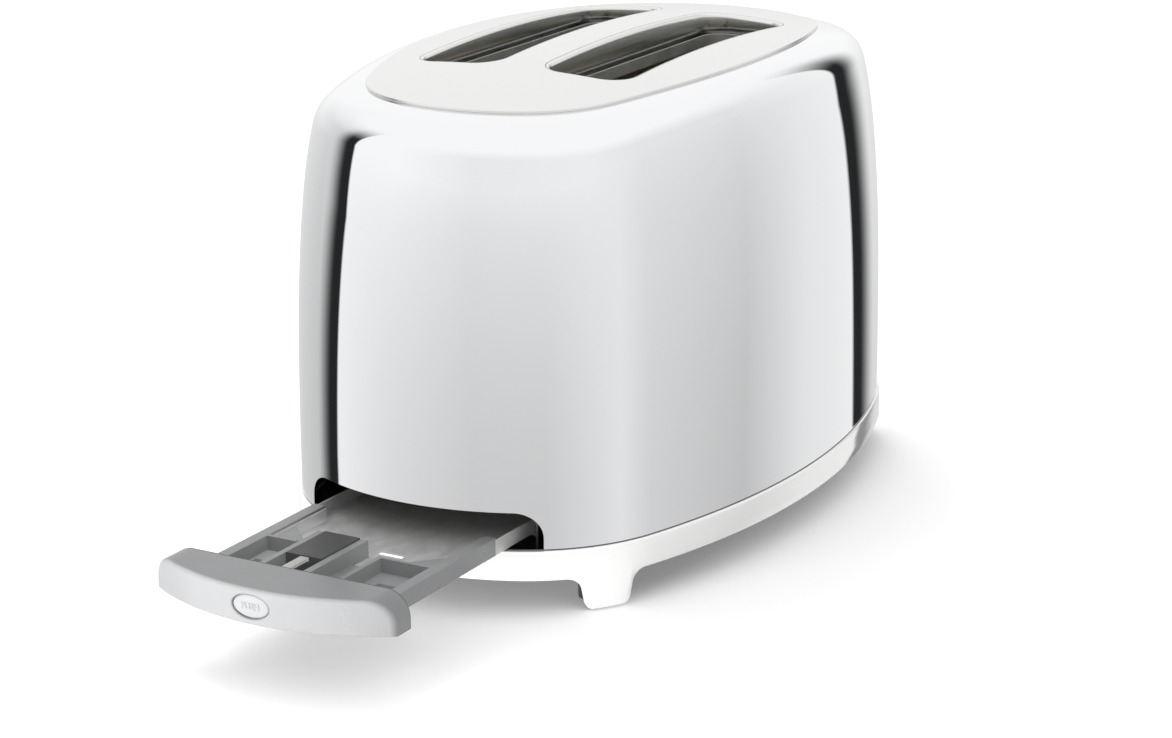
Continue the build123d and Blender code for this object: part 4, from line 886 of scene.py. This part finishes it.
def make_word():
    """The plain word PUSH, raised on the button and bent over its dome."""
    text = bpy.data.curves.new("word", "FONT")
    text.body, text.align_x, text.align_y = "PUSH", "CENTER", "CENTER"
    text.size, text.extrude, text.bevel_depth, text.bevel_resolution = 3.3, 0.3, 0.05, 1
    text.offset = 0.03
    letters = curve_mesh("word", text)
    face, rim = HANDLE_FRONT + BUTTON["sunk"], BUTTON["rim"]
    for vertex in letters.vertices:
        across, up, out = vertex.co
        share = min(1.0, hypot(across / (BUTTON["length"] / 2 - rim),
                               up / (BUTTON["height"] / 2 - rim)))
        bulge = BUTTON["dome"] * (1 - share ** 2)
        vertex.co = Vector((face - bulge + 0.15 - out, -across, BUTTON["z"] + up)) * MM
    ride_with(new_piece("push_word", letters, FINISHES["button_plastic"], smooth=False),
              "push_button")


make_tray()
make_button()
make_word()


# control end: knob, dial and keys, turned smooth

def turned(name, profile, z, material, y=0.0, steps=72, flutes=0, depth=0.0):
    """A piece turned about a line along X, from (x, radius) pairs; flutes scallop its rim."""
    widest, sharp = max(radius for _, radius in profile), 40
    turns = 2 * pi * np.arange(steps) / steps
    rings = []
    for x, radius in profile:
        reach = radius - depth * (0.5 + 0.5 * np.cos(flutes * turns)) * (radius > widest - 0.9)
        rings.append(placed(np.column_stack((y + reach * np.cos(turns),
                                             z + reach * np.sin(turns))), x))
    mesh = new_mesh(name, *rings_mesh(rings))
    weld(mesh)
    piece = new_piece(name, mesh, material)
    sharp_beyond(piece, sharp)
    return piece


def rounded_step(x, radius, edge, steps=5):
    """Profile points of a face at X whose rim is rounded over, from the rim inwards."""
    turns = [pi / 2 * k / steps for k in range(steps + 1)]
    return [(x - edge * (1 - sin(turn)), radius - edge * (1 - cos(turn))) for turn in turns]


def make_knob():
    """Polished ball on a short collar."""
    x, radius = KNOB["x"], KNOB["radius"]
    collar = [(x - 13.4, 0.0), (x - 13.4, 1.9), (x - 11.7, 2.1)]
    ball = [(x - radius * cos(t), radius * sin(t)) for t in np.linspace(0.16, pi, 40)]
    stand_for(turned("lever_knob", collar + ball[1:], KNOB["z"], FINISHES["chrome_ball"]),
              "lever_ball")


def make_dial():
    """Fluted rim, dished face and a pointer groove."""
    foot, wide, z, shaft = DIAL["foot"], DIAL["radius"], DIAL["z"], DIAL["shaft"]
    face = foot + DIAL["depth"]
    profile = [(DIAL["shaft_start"], 0.0), (DIAL["shaft_start"], shaft), (foot, shaft),
               (foot, wide - 1.2), (foot + 0.4, wide - 0.4), (foot + 1.2, wide), (face - 1.4, wide)]
    profile += rounded_step(face, wide - 0.2, 1.2)
    profile += [(face - 0.25, wide - 3.2), (face - 0.9, 5.0), (face - 1.0, 0.0)]
    dial = turned("dial_knob", profile, z, FINISHES["satin_dial"], steps=144, flutes=36, depth=0.45)
    half, low = 0.7, z + 5.7
    groove = [(half * cos(t), low + half * sin(t)) for t in np.linspace(pi, 2 * pi, 9)]
    groove += [(half, z + wide + 2), (-half, z + wide + 2)]
    cut(dial, [cutter_x("pointer", np.array(groove), face - 1.9, face + 2)])
    sharp_beyond(dial, 40)
    stand_for(dial, "browning_dial")


def make_keys():
    """Four round keys that stand a little proud of the curved bar."""
    radius, stem, start = KEY["radius"], KEY["stem"], KEY["stem_start"]
    for node, y in KEYS.items():
        bar_face = BODY["half_length"] - BODY["end"] + sqrt(BODY["end"] ** 2 - y ** 2)
        back, face = bar_face - KEY["depth"], bar_face + KEY["proud"]
        profile = [(start, 0.0), (start, stem), (back, stem), (back, radius)]
        profile += rounded_step(face, radius, 0.8)
        profile += [(face + 0.12, 2.6), (face + 0.2, 1.2), (face + 0.2, 0.0)]
        stand_for(turned(node + "_cap", profile, DIAL["z"], FINISHES["chrome_key"], y, 48), node)


make_knob()
make_dial()
make_keys()


# what repeats is made once and set out by Geometry Nodes

def new_tree(name, **sockets):
    """A Geometry Nodes tree with named inputs; returns it with what they give."""
    tree = bpy.data.node_groups.new(name, "GeometryNodeTree")
    for label, kind in sockets.items():
        tree.interface.new_socket(label, in_out="INPUT", socket_type="NodeSocket" + kind)
    tree.interface.new_socket("Piece", in_out="OUTPUT", socket_type="NodeSocketGeometry")
    return tree, tree.nodes.new("NodeGroupInput").outputs


def close_tree(tree, geometry, material):
    """Makes what the tree gives real and sets its finish."""
    real = add_node(tree, "GeometryNodeRealizeInstances", {"Geometry": geometry})
    done = add_node(tree, "GeometryNodeSetMaterial", {"Geometry": real.outputs[0],
                                                      "Material": material})
    add_node(tree, "NodeGroupOutput", {"Piece": done.outputs[0]})
    return tree


def repeat_tree(name, material):
    """Sets a unit on every point of the mesh it is given, each turned a little about Z."""
    tree, given = new_tree(name, Points="Geometry", Unit="Object", Turn="Float", Seed="Int")
    unit = add_node(tree, "GeometryNodeObjectInfo", {"Object": given["Unit"]})
    chance = add_node(tree, "FunctionNodeRandomValue", {"Seed": given["Seed"]}, data_type="FLOAT")
    turn = add_node(tree, "ShaderNodeMath", {0: chance.outputs[1], 1: given["Turn"]},
                    operation="MULTIPLY")
    about = add_node(tree, "ShaderNodeCombineXYZ", {"Z": turn.outputs[0]})
    spread = add_node(tree, "GeometryNodeInstanceOnPoints", {
        "Points": given["Points"], "Instance": unit.outputs["Geometry"],
        "Rotation": about.outputs[0]})
    return close_tree(tree, spread.outputs[0], material)


def coil_tree(name, material):
    """A close-wound spring standing on Z."""
    tree, given = new_tree(name, Turns="Float", Radius="Float", Wire="Float", Length="Float",
                           Place="Vector")
    spiral = add_node(tree, "GeometryNodeCurveSpiral", {
        "Resolution": 20, "Rotations": given["Turns"], "Start Radius": given["Radius"],
        "End Radius": given["Radius"], "Height": given["Length"]})
    ring = add_node(tree, "GeometryNodeCurvePrimitiveCircle", {"Resolution": 8,
                                                               "Radius": given["Wire"]})
    wire = add_node(tree, "GeometryNodeCurveToMesh", {
        "Curve": spiral.outputs[0], "Profile Curve": ring.outputs[0], "Fill Caps": True})
    moved = add_node(tree, "GeometryNodeTransform", {"Geometry": wire.outputs[0],
                                                     "Translation": given["Place"]})
    return close_tree(tree, moved.outputs[0], material)


def grown(name, points, tree, **inputs):
    """A piece made by a tree from points, in millimetres, and named inputs."""
    mesh = bpy.data.meshes.new(name)
    mesh.from_pydata([tuple(np.asarray(p) * MM) for p in points], [], [])
    piece = new_piece(name, mesh, None)
    modifier = piece.modifiers.new("grow", "NODES")
    modifier.node_group = tree
    for item in tree.interface.items_tree:
        if item.in_out == "INPUT" and item.name in inputs:
            modifier[item.identifier] = inputs[item.name]
    settle(piece)
    for face in piece.data.polygons:
        face.use_smooth = True
    sharp_beyond(piece, 40)
    return piece


def join_pieces(name, pieces):
    """One piece from several that share a finish."""
    work = bmesh.new()
    for piece in pieces:
        work.from_mesh(piece.data)
    mesh = bpy.data.meshes.new(name)
    work.to_mesh(mesh)
    work.free()
    for material in pieces[0].data.materials:
        mesh.materials.append(material)
    whole = new_piece(name, mesh, None)
    for piece in pieces:
        bpy.data.objects.remove(piece)
    sharp_beyond(whole, 40)
    return whole


def wire(name, start, end, radius, material=None):
    """Straight round wire between two places in millimetres."""
    curve = bpy.data.curves.new(name, "CURVE")
    curve.dimensions, curve.bevel_depth, curve.bevel_resolution = "3D", radius * MM, 2
    curve.use_fill_caps = True
    line = curve.splines.new("POLY")
    line.points.add(1)
    for point, place in zip(line.points, (start, end)):
        point.co = (*(c * MM for c in place), 1)
    return new_piece(name, curve_mesh(name, curve), material)


def make_guards():
    """Wire cages: uprights between an upper and a lower rail."""
    material = FINISHES["guard_wire"]
    tree = repeat_tree("wires_on_rails", material)
    low, high, count = CAGE["low"], CAGE["high"], CAGE["count"]
    xs = [CAGE["middle"] + (k - count // 2) * CAGE["pitch"] for k in range(count)]
    for node, y in CAGES.items():
        unit = wire("wire_unit", (0, 0, low), (0, 0, high), CAGE["wire"])
        wires = grown("wires", [(x, y, 0) for x in xs], tree, Unit=unit, Turn=0.0, Seed=3)
        bpy.data.objects.remove(unit)
        rails = [wire("rail", (CAGE["start"], y, z), (CAGE["end"], y, z), CAGE["rail"], material)
                 for z in (low, high)]
        stand_for(join_pieces(node + "_wires", [wires] + rails), node)


def make_ribbons():
    """Flat resistance ribbon laid to and fro over each mica card, a little crimped."""
    material = FINISHES["heating_ribbon"]
    tree = repeat_tree("ribbon_runs", material)
    start, end, runs = RIBBON["start"], RIBBON["end"], RIBBON["runs"]
    half_sheet, half_width, link = RIBBON["sheet"] / 2, RIBBON["width"] / 2, RIBBON["link"]
    section = ((-half_sheet, -half_width), (-half_sheet, half_width), (half_sheet, half_width),
               (half_sheet, -half_width))
    xs = np.linspace(start, end, 159)
    zs = [RIBBON["middle"] + (k - runs // 2) * RIBBON["pitch"] for k in range(runs)]
    rows = []
    for x in xs:
        crimp = RIBBON["crimp"] * sin(x / (end - start) * 2 * pi * RIBBON["crimps"])
        rows.append([(x, y + crimp, z) for y, z in section])
    points, faces = rings_mesh(rows)
    faces += [(3, 2, 1, 0), tuple(range(len(points) - 4, len(points)))]
    for node, face_y in RIBBONS.items():
        unit = new_piece("run", new_mesh("run", points, faces), None, smooth=False)
        parts = [grown("runs", [(0, face_y, z) for z in zs], tree, Unit=unit, Turn=0.0, Seed=1)]
        bpy.data.objects.remove(unit)
        for k in range(1, runs):
            x = end - link if k % 2 else start
            plan = [(x, face_y - half_sheet), (x + link, face_y - half_sheet),
                    (x + link, face_y + half_sheet), (x, face_y + half_sheet)]
            mesh = new_mesh("link", *prism(plan, zs[k - 1], zs[k], lifted))
            parts.append(new_piece("link", mesh, material, smooth=False))
        stand_for(join_pieces(node + "_wound", parts), node)


def make_springs():
    """Two close-wound springs that draw the bracket up."""
    tree = coil_tree("return_coil", FINISHES["spring_steel"])
    coils = []
    for side in (-1, 1):
        foot = (SPRING["x"] * MM, side * SPRING["y"] * MM, SPRING["bottom"] * MM)
        coils.append(grown("coil", [], tree, Turns=SPRING["turns"], Radius=SPRING["radius"] * MM,
                           Wire=SPRING["wire"] * MM, Length=SPRING["length"] * MM, Place=foot))
    whole = join_pieces("return_coils", coils)
    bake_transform(whole)
    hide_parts("return_springs")


def make_screws():
    """Pan-head screws with a cross recess, heads down under the floor."""
    tree = repeat_tree("floor_screws", FINISHES["zinc_screw"])
    tip, shank, head, head_radius, crown_z = 18.5, 1.5, 14.0, 3.0, 12.4
    profile = [(tip, 0.0), (tip, 1.1), (tip - 0.5, shank), (head, shank), (head, head_radius)]
    for row in range(6):
        turn = pi / 2 * row / 5
        profile.append((crown_z + 1 - sin(turn), head_radius - 1.6 * (1 - cos(turn))))
    profile.append((crown_z, 0.0))
    turns = np.linspace(0, 2 * pi, 32, False)
    rings = [lifted(np.column_stack((radius * np.cos(turns), radius * np.sin(turns))), z)
             for z, radius in profile]
    mesh = new_mesh("screw", *rings_mesh(rings))
    weld(mesh)
    unit = new_piece("screw", mesh, None)
    blades = []
    for wide, long_ in ((0.35, 1.5), (1.5, 0.35)):
        plan = [(-wide, -long_), (wide, -long_), (wide, long_), (-wide, long_)]
        mesh = new_mesh("blade", *prism(plan, 12.0, 13.4, lifted))
        blades.append(new_piece("blade", mesh, None, smooth=False))
    cut(unit, blades)
    spots = [(x, y, 0) for x in SCREW["x"] for y in (-SCREW["y"], SCREW["y"])]
    screws = grown("screws", spots, tree, Unit=unit, Turn=1.4, Seed=5)
    bpy.data.objects.remove(unit)
    stand_for(join_pieces("floor_screws", [screws]), "base_screws")


make_guards()
make_ribbons()
make_springs()
make_screws()

# sheets, blocks and mouldings keep their form, with their edges broken by these widths
EDGES = {
    "latch_block": 0.7, "crumb_pan": 0.2, "release_slider": 0.25, "base_plate": 0.5,
    "control_panel": 0.5, "near_rack": 0.3, "far_rack": 0.3, "carriage_bracket": 0.3,
    "lever_arm": 0.5, "keeper_plate": 0.3, "chamber_top_plate": 0.25, "tray_end_plate": 0.25,
    "control_end_plate": 0.25, "near_reflector": 0.2, "far_reflector": 0.2,
    "tray_runners": 0.25, "tray_catch": 0.25, "cord_cleats": 0.8, "cord_bush": 0.8,
    "rubber_feet": 0.9, "mains_switch": 0.5, "terminal_block": 0.6, "control_board": 0.2,
    "key_switches": 0.4, "magnet_core": 0.3, "magnet_coil": 0.5, "bus_bar": 0.2,
    "dial_potentiometer": 0.4, "guide_rod": 0.4, "near_outer_mica_card": 0.1,
    "near_inner_mica_card": 0.1, "far_inner_mica_card": 0.1, "far_outer_mica_card": 0.1,
}
for node, width in EDGES.items():
    made = soften(node + "_edged", clean_copy(node), FINISHES[slot_of_node[node]], width)
    stand_for(made, node)


def finish_nodes():
    """Each CAD node takes its slot's finish, whether a piece stands for it or not."""
    for node, piece in frame["nodes"].items():
        material = FINISHES[slot_of_node[node]]
        if piece.material_slots:
            for place in piece.material_slots:
                place.material = material
        else:
            piece.data.materials.append(material)


finish_nodes()


# floor, lamps, world and camera, which stands where the photograph was taken from
CAMERA_PLACE = (-1.060074, -0.591301, 0.418887)
CAMERA_YAW, CAMERA_PITCH, CAMERA_ROLL = 29.4975, 16.7714, -0.3133
FOCAL_PIXELS, PHOTO_WIDTH = 2995.127, 1172


def make_camera():
    """Camera at the place, turn and focal length fitted to the photograph."""
    data = bpy.data.cameras.new("camera")
    data.sensor_width = 36.0
    data.lens = FOCAL_PIXELS / PHOTO_WIDTH * data.sensor_width
    camera = bpy.data.objects.new("camera", data)
    yaw, pitch, roll = (radians(a) for a in (CAMERA_YAW, CAMERA_PITCH, CAMERA_ROLL))
    ahead = Vector((cos(pitch) * cos(yaw), cos(pitch) * sin(yaw), -sin(pitch)))
    right = Vector((sin(yaw), -cos(yaw), 0))
    up = right.cross(ahead)
    right, up = cos(roll) * right + sin(roll) * up, cos(roll) * up - sin(roll) * right
    camera.matrix_world = Matrix.Translation(CAMERA_PLACE) @ Matrix(
        (right, up, -ahead)).transposed().to_4x4()
    bpy.context.scene.collection.objects.link(camera)
    bpy.context.scene.camera = camera


def make_floor():
    """White studio sweep: pure white to the camera, but for the shadow."""
    half = 6.0
    mesh = bpy.data.meshes.new("floor")
    mesh.from_pydata([(-half, -half, 0), (half, -half, 0), (half, half, 0), (-half, half, 0)],
                     [], [(0, 1, 2, 3)])
    # matt white paper, lit a touch from behind so that it stays white beside the shadow
    material = bpy.data.materials.new("white_paper_sweep")
    material.use_nodes = True
    tree = material.node_tree
    tree.nodes.clear()
    paper = add_node(tree, "ShaderNodeBsdfDiffuse", {"Color": srgb("#F8F8F8")})
    glow = add_node(tree, "ShaderNodeEmission", {"Color": srgb("#FFFFFF"), "Strength": 0.1})
    both = add_node(tree, "ShaderNodeAddShader", {0: paper.outputs[0], 1: glow.outputs[0]})
    add_node(tree, "ShaderNodeOutputMaterial", {"Surface": both.outputs[0]})
    floor = new_piece("floor", mesh, material, smooth=False)
    floor.visible_glossy = False


def flag(tree, bearing, height, edge, low_edge, core, fade, top, side):
    """A dark flag of a photo studio as reflections see it: 1 on it, 0 beside it.

    Its crisp edge stands at a bearing that drifts where reflections look down. Beyond its
    core, on the other side, and above a top height it ends softly.
    """
    drift = add_node(tree, "ShaderNodeMapRange", {
        "Value": height, "From Min": -18.0, "From Max": -5.0, "To Min": low_edge, "To Max": edge})
    apart = add_node(tree, "ShaderNodeMath", {0: drift.outputs[0], 1: bearing},
                     operation="SUBTRACT")
    past = add_node(tree, "ShaderNodeMath", {0: apart.outputs[0], 1: side}, operation="MULTIPLY")
    crisp = add_node(tree, "ShaderNodeMapRange", {
        "Value": past.outputs[0], "From Min": -0.8, "From Max": 0.4})
    soft = add_node(tree, "ShaderNodeMapRange", {
        "Value": past.outputs[0], "From Min": core, "From Max": core + fade, "To Min": 1.0,
        "To Max": 0.0}, interpolation_type="SMOOTHSTEP")
    upper = add_node(tree, "ShaderNodeMapRange", {
        "Value": height, "From Min": top, "From Max": top + 28.0, "To Min": 1.0,
        "To Max": 0.0}, interpolation_type="SMOOTHSTEP")
    across = add_node(tree, "ShaderNodeMath", {0: crisp.outputs[0], 1: soft.outputs[0]},
                      operation="MULTIPLY")
    return add_node(tree, "ShaderNodeMath", {0: across.outputs[0], 1: upper.outputs[0]},
                    operation="MULTIPLY").outputs[0]


# the studio wall as mirrors see it, greys by bearing in degrees: its middle, and its foot
WALL = ((-180, "F0"), (-110, "F4"), (-45, "E8"), (0, "FF"), (45, "FF"), (95, "D8"), (108, "FF"),
        (140, "FF"), (180, "F0"))
WALL_FOOT = ((-180, "D0"), (-140, "D0"), (-90, "E8"), (-45, "C4"), (-28, "E8"), (-5, "F4"),
             (8, "D8"), (45, "D8"), (90, "C6"), (108, "F4"), (140, "E0"), (180, "D0"))
FLAG = "#262728"
WHITE = "#FFFFFF"


def make_world():
    """Even white studio; mirrors see its wall graded, with a dark flag on each side."""
    world = bpy.data.worlds.new("studio")
    bpy.context.scene.world = world
    world.use_nodes = True
    tree = world.node_tree
    tree.nodes.clear()
    way = add_node(tree, "ShaderNodeSeparateXYZ",
                   {0: add_node(tree, "ShaderNodeTexCoord").outputs["Generated"]}).outputs
    angles = []
    for operation, inputs in (("ARCTAN2", {0: way[1], 1: way[0]}), ("ARCSINE", {0: way[2]})):
        turn = add_node(tree, "ShaderNodeMath", inputs, operation=operation)
        angles.append(add_node(tree, "ShaderNodeMath", {0: turn.outputs[0], 1: 180 / pi},
                               operation="MULTIPLY").outputs[0])
    bearing, height = angles
    about = add_node(tree, "ShaderNodeMapRange", {
        "Value": bearing, "From Min": -180.0, "From Max": 180.0}).outputs[0]
    greys = []
    for stops in (WALL_FOOT, WALL):
        band = add_node(tree, "ShaderNodeValToRGB", {"Fac": about})
        run = band.color_ramp.elements
        while len(run) < len(stops):
            run.new(0.5)
        for element, (at, grey) in zip(run, stops):
            element.position, element.color = (at + 180) / 360, srgb("#" + 3 * grey)
        greys.append(band.outputs["Color"])
    rise = add_node(tree, "ShaderNodeMapRange", {
        "Value": height, "From Min": -19.0, "From Max": 8.0}).outputs[0]
    wall = add_node(tree, "ShaderNodeMix", {"Factor": rise, 6: greys[0], 7: greys[1]},
                    data_type="RGBA").outputs[2]
    over = add_node(tree, "ShaderNodeMapRange", {
        "Value": height, "From Min": 20.0, "From Max": 40.0}).outputs[0]
    sky = add_node(tree, "ShaderNodeMix", {"Factor": over, 6: wall, 7: srgb(WHITE)},
                   data_type="RGBA").outputs[2]
    flags = add_node(tree, "ShaderNodeMath", {
        0: flag(tree, bearing, height, 112.0, 105.5, 5.0, 14.0, 16.0, 1.0),
        1: flag(tree, bearing, height, -12.0, -6.0, 4.0, 12.0, 6.0, -1.0)}, operation="MAXIMUM")
    seen = add_node(tree, "ShaderNodeMix", {"Factor": flags.outputs[0], 6: sky, 7: srgb(FLAG)},
                    data_type="RGBA").outputs[2]
    path = add_node(tree, "ShaderNodeLightPath").outputs
    shown, mirrored, diffuse = [
        add_node(tree, "ShaderNodeBackground", {"Color": color, "Strength": strength}).outputs[0]
        for color, strength in ((srgb(WHITE), 1.0), (seen, 1.0), (srgb(WHITE), 0.95))]
    indirect = add_node(tree, "ShaderNodeMixShader", {0: path["Is Glossy Ray"], 1: diffuse,
                                                      2: mirrored})
    both = add_node(tree, "ShaderNodeMixShader", {0: path["Is Camera Ray"],
                                                  1: indirect.outputs[0], 2: shown})
    add_node(tree, "ShaderNodeOutputWorld", {"Surface": both.outputs[0]})


def make_lamp(name, place, target, size, power):
    """A soft box that mirrors don't show."""
    data = bpy.data.lights.new(name, "AREA")
    data.shape, data.size, data.size_y, data.energy = "RECTANGLE", *size, power
    lamp = bpy.data.objects.new(name, data)
    lamp.location = place
    lamp.rotation_euler = (Vector(target) - Vector(place)).to_track_quat("-Z", "Y").to_euler()
    lamp.visible_glossy = False
    bpy.context.scene.collection.objects.link(lamp)


make_camera()
make_floor()
make_world()
make_lamp("soft_top", (0.5, 0.9, 1.9), (0, 0, 0.1), (1.2, 1.2), 16)
make_lamp("front_fill", (-0.75, 0.1, 0.04), (-0.255, 0, 0.03), (0.4, 0.06), 8.5)
bpy.context.scene.view_settings.view_transform = "Standard"
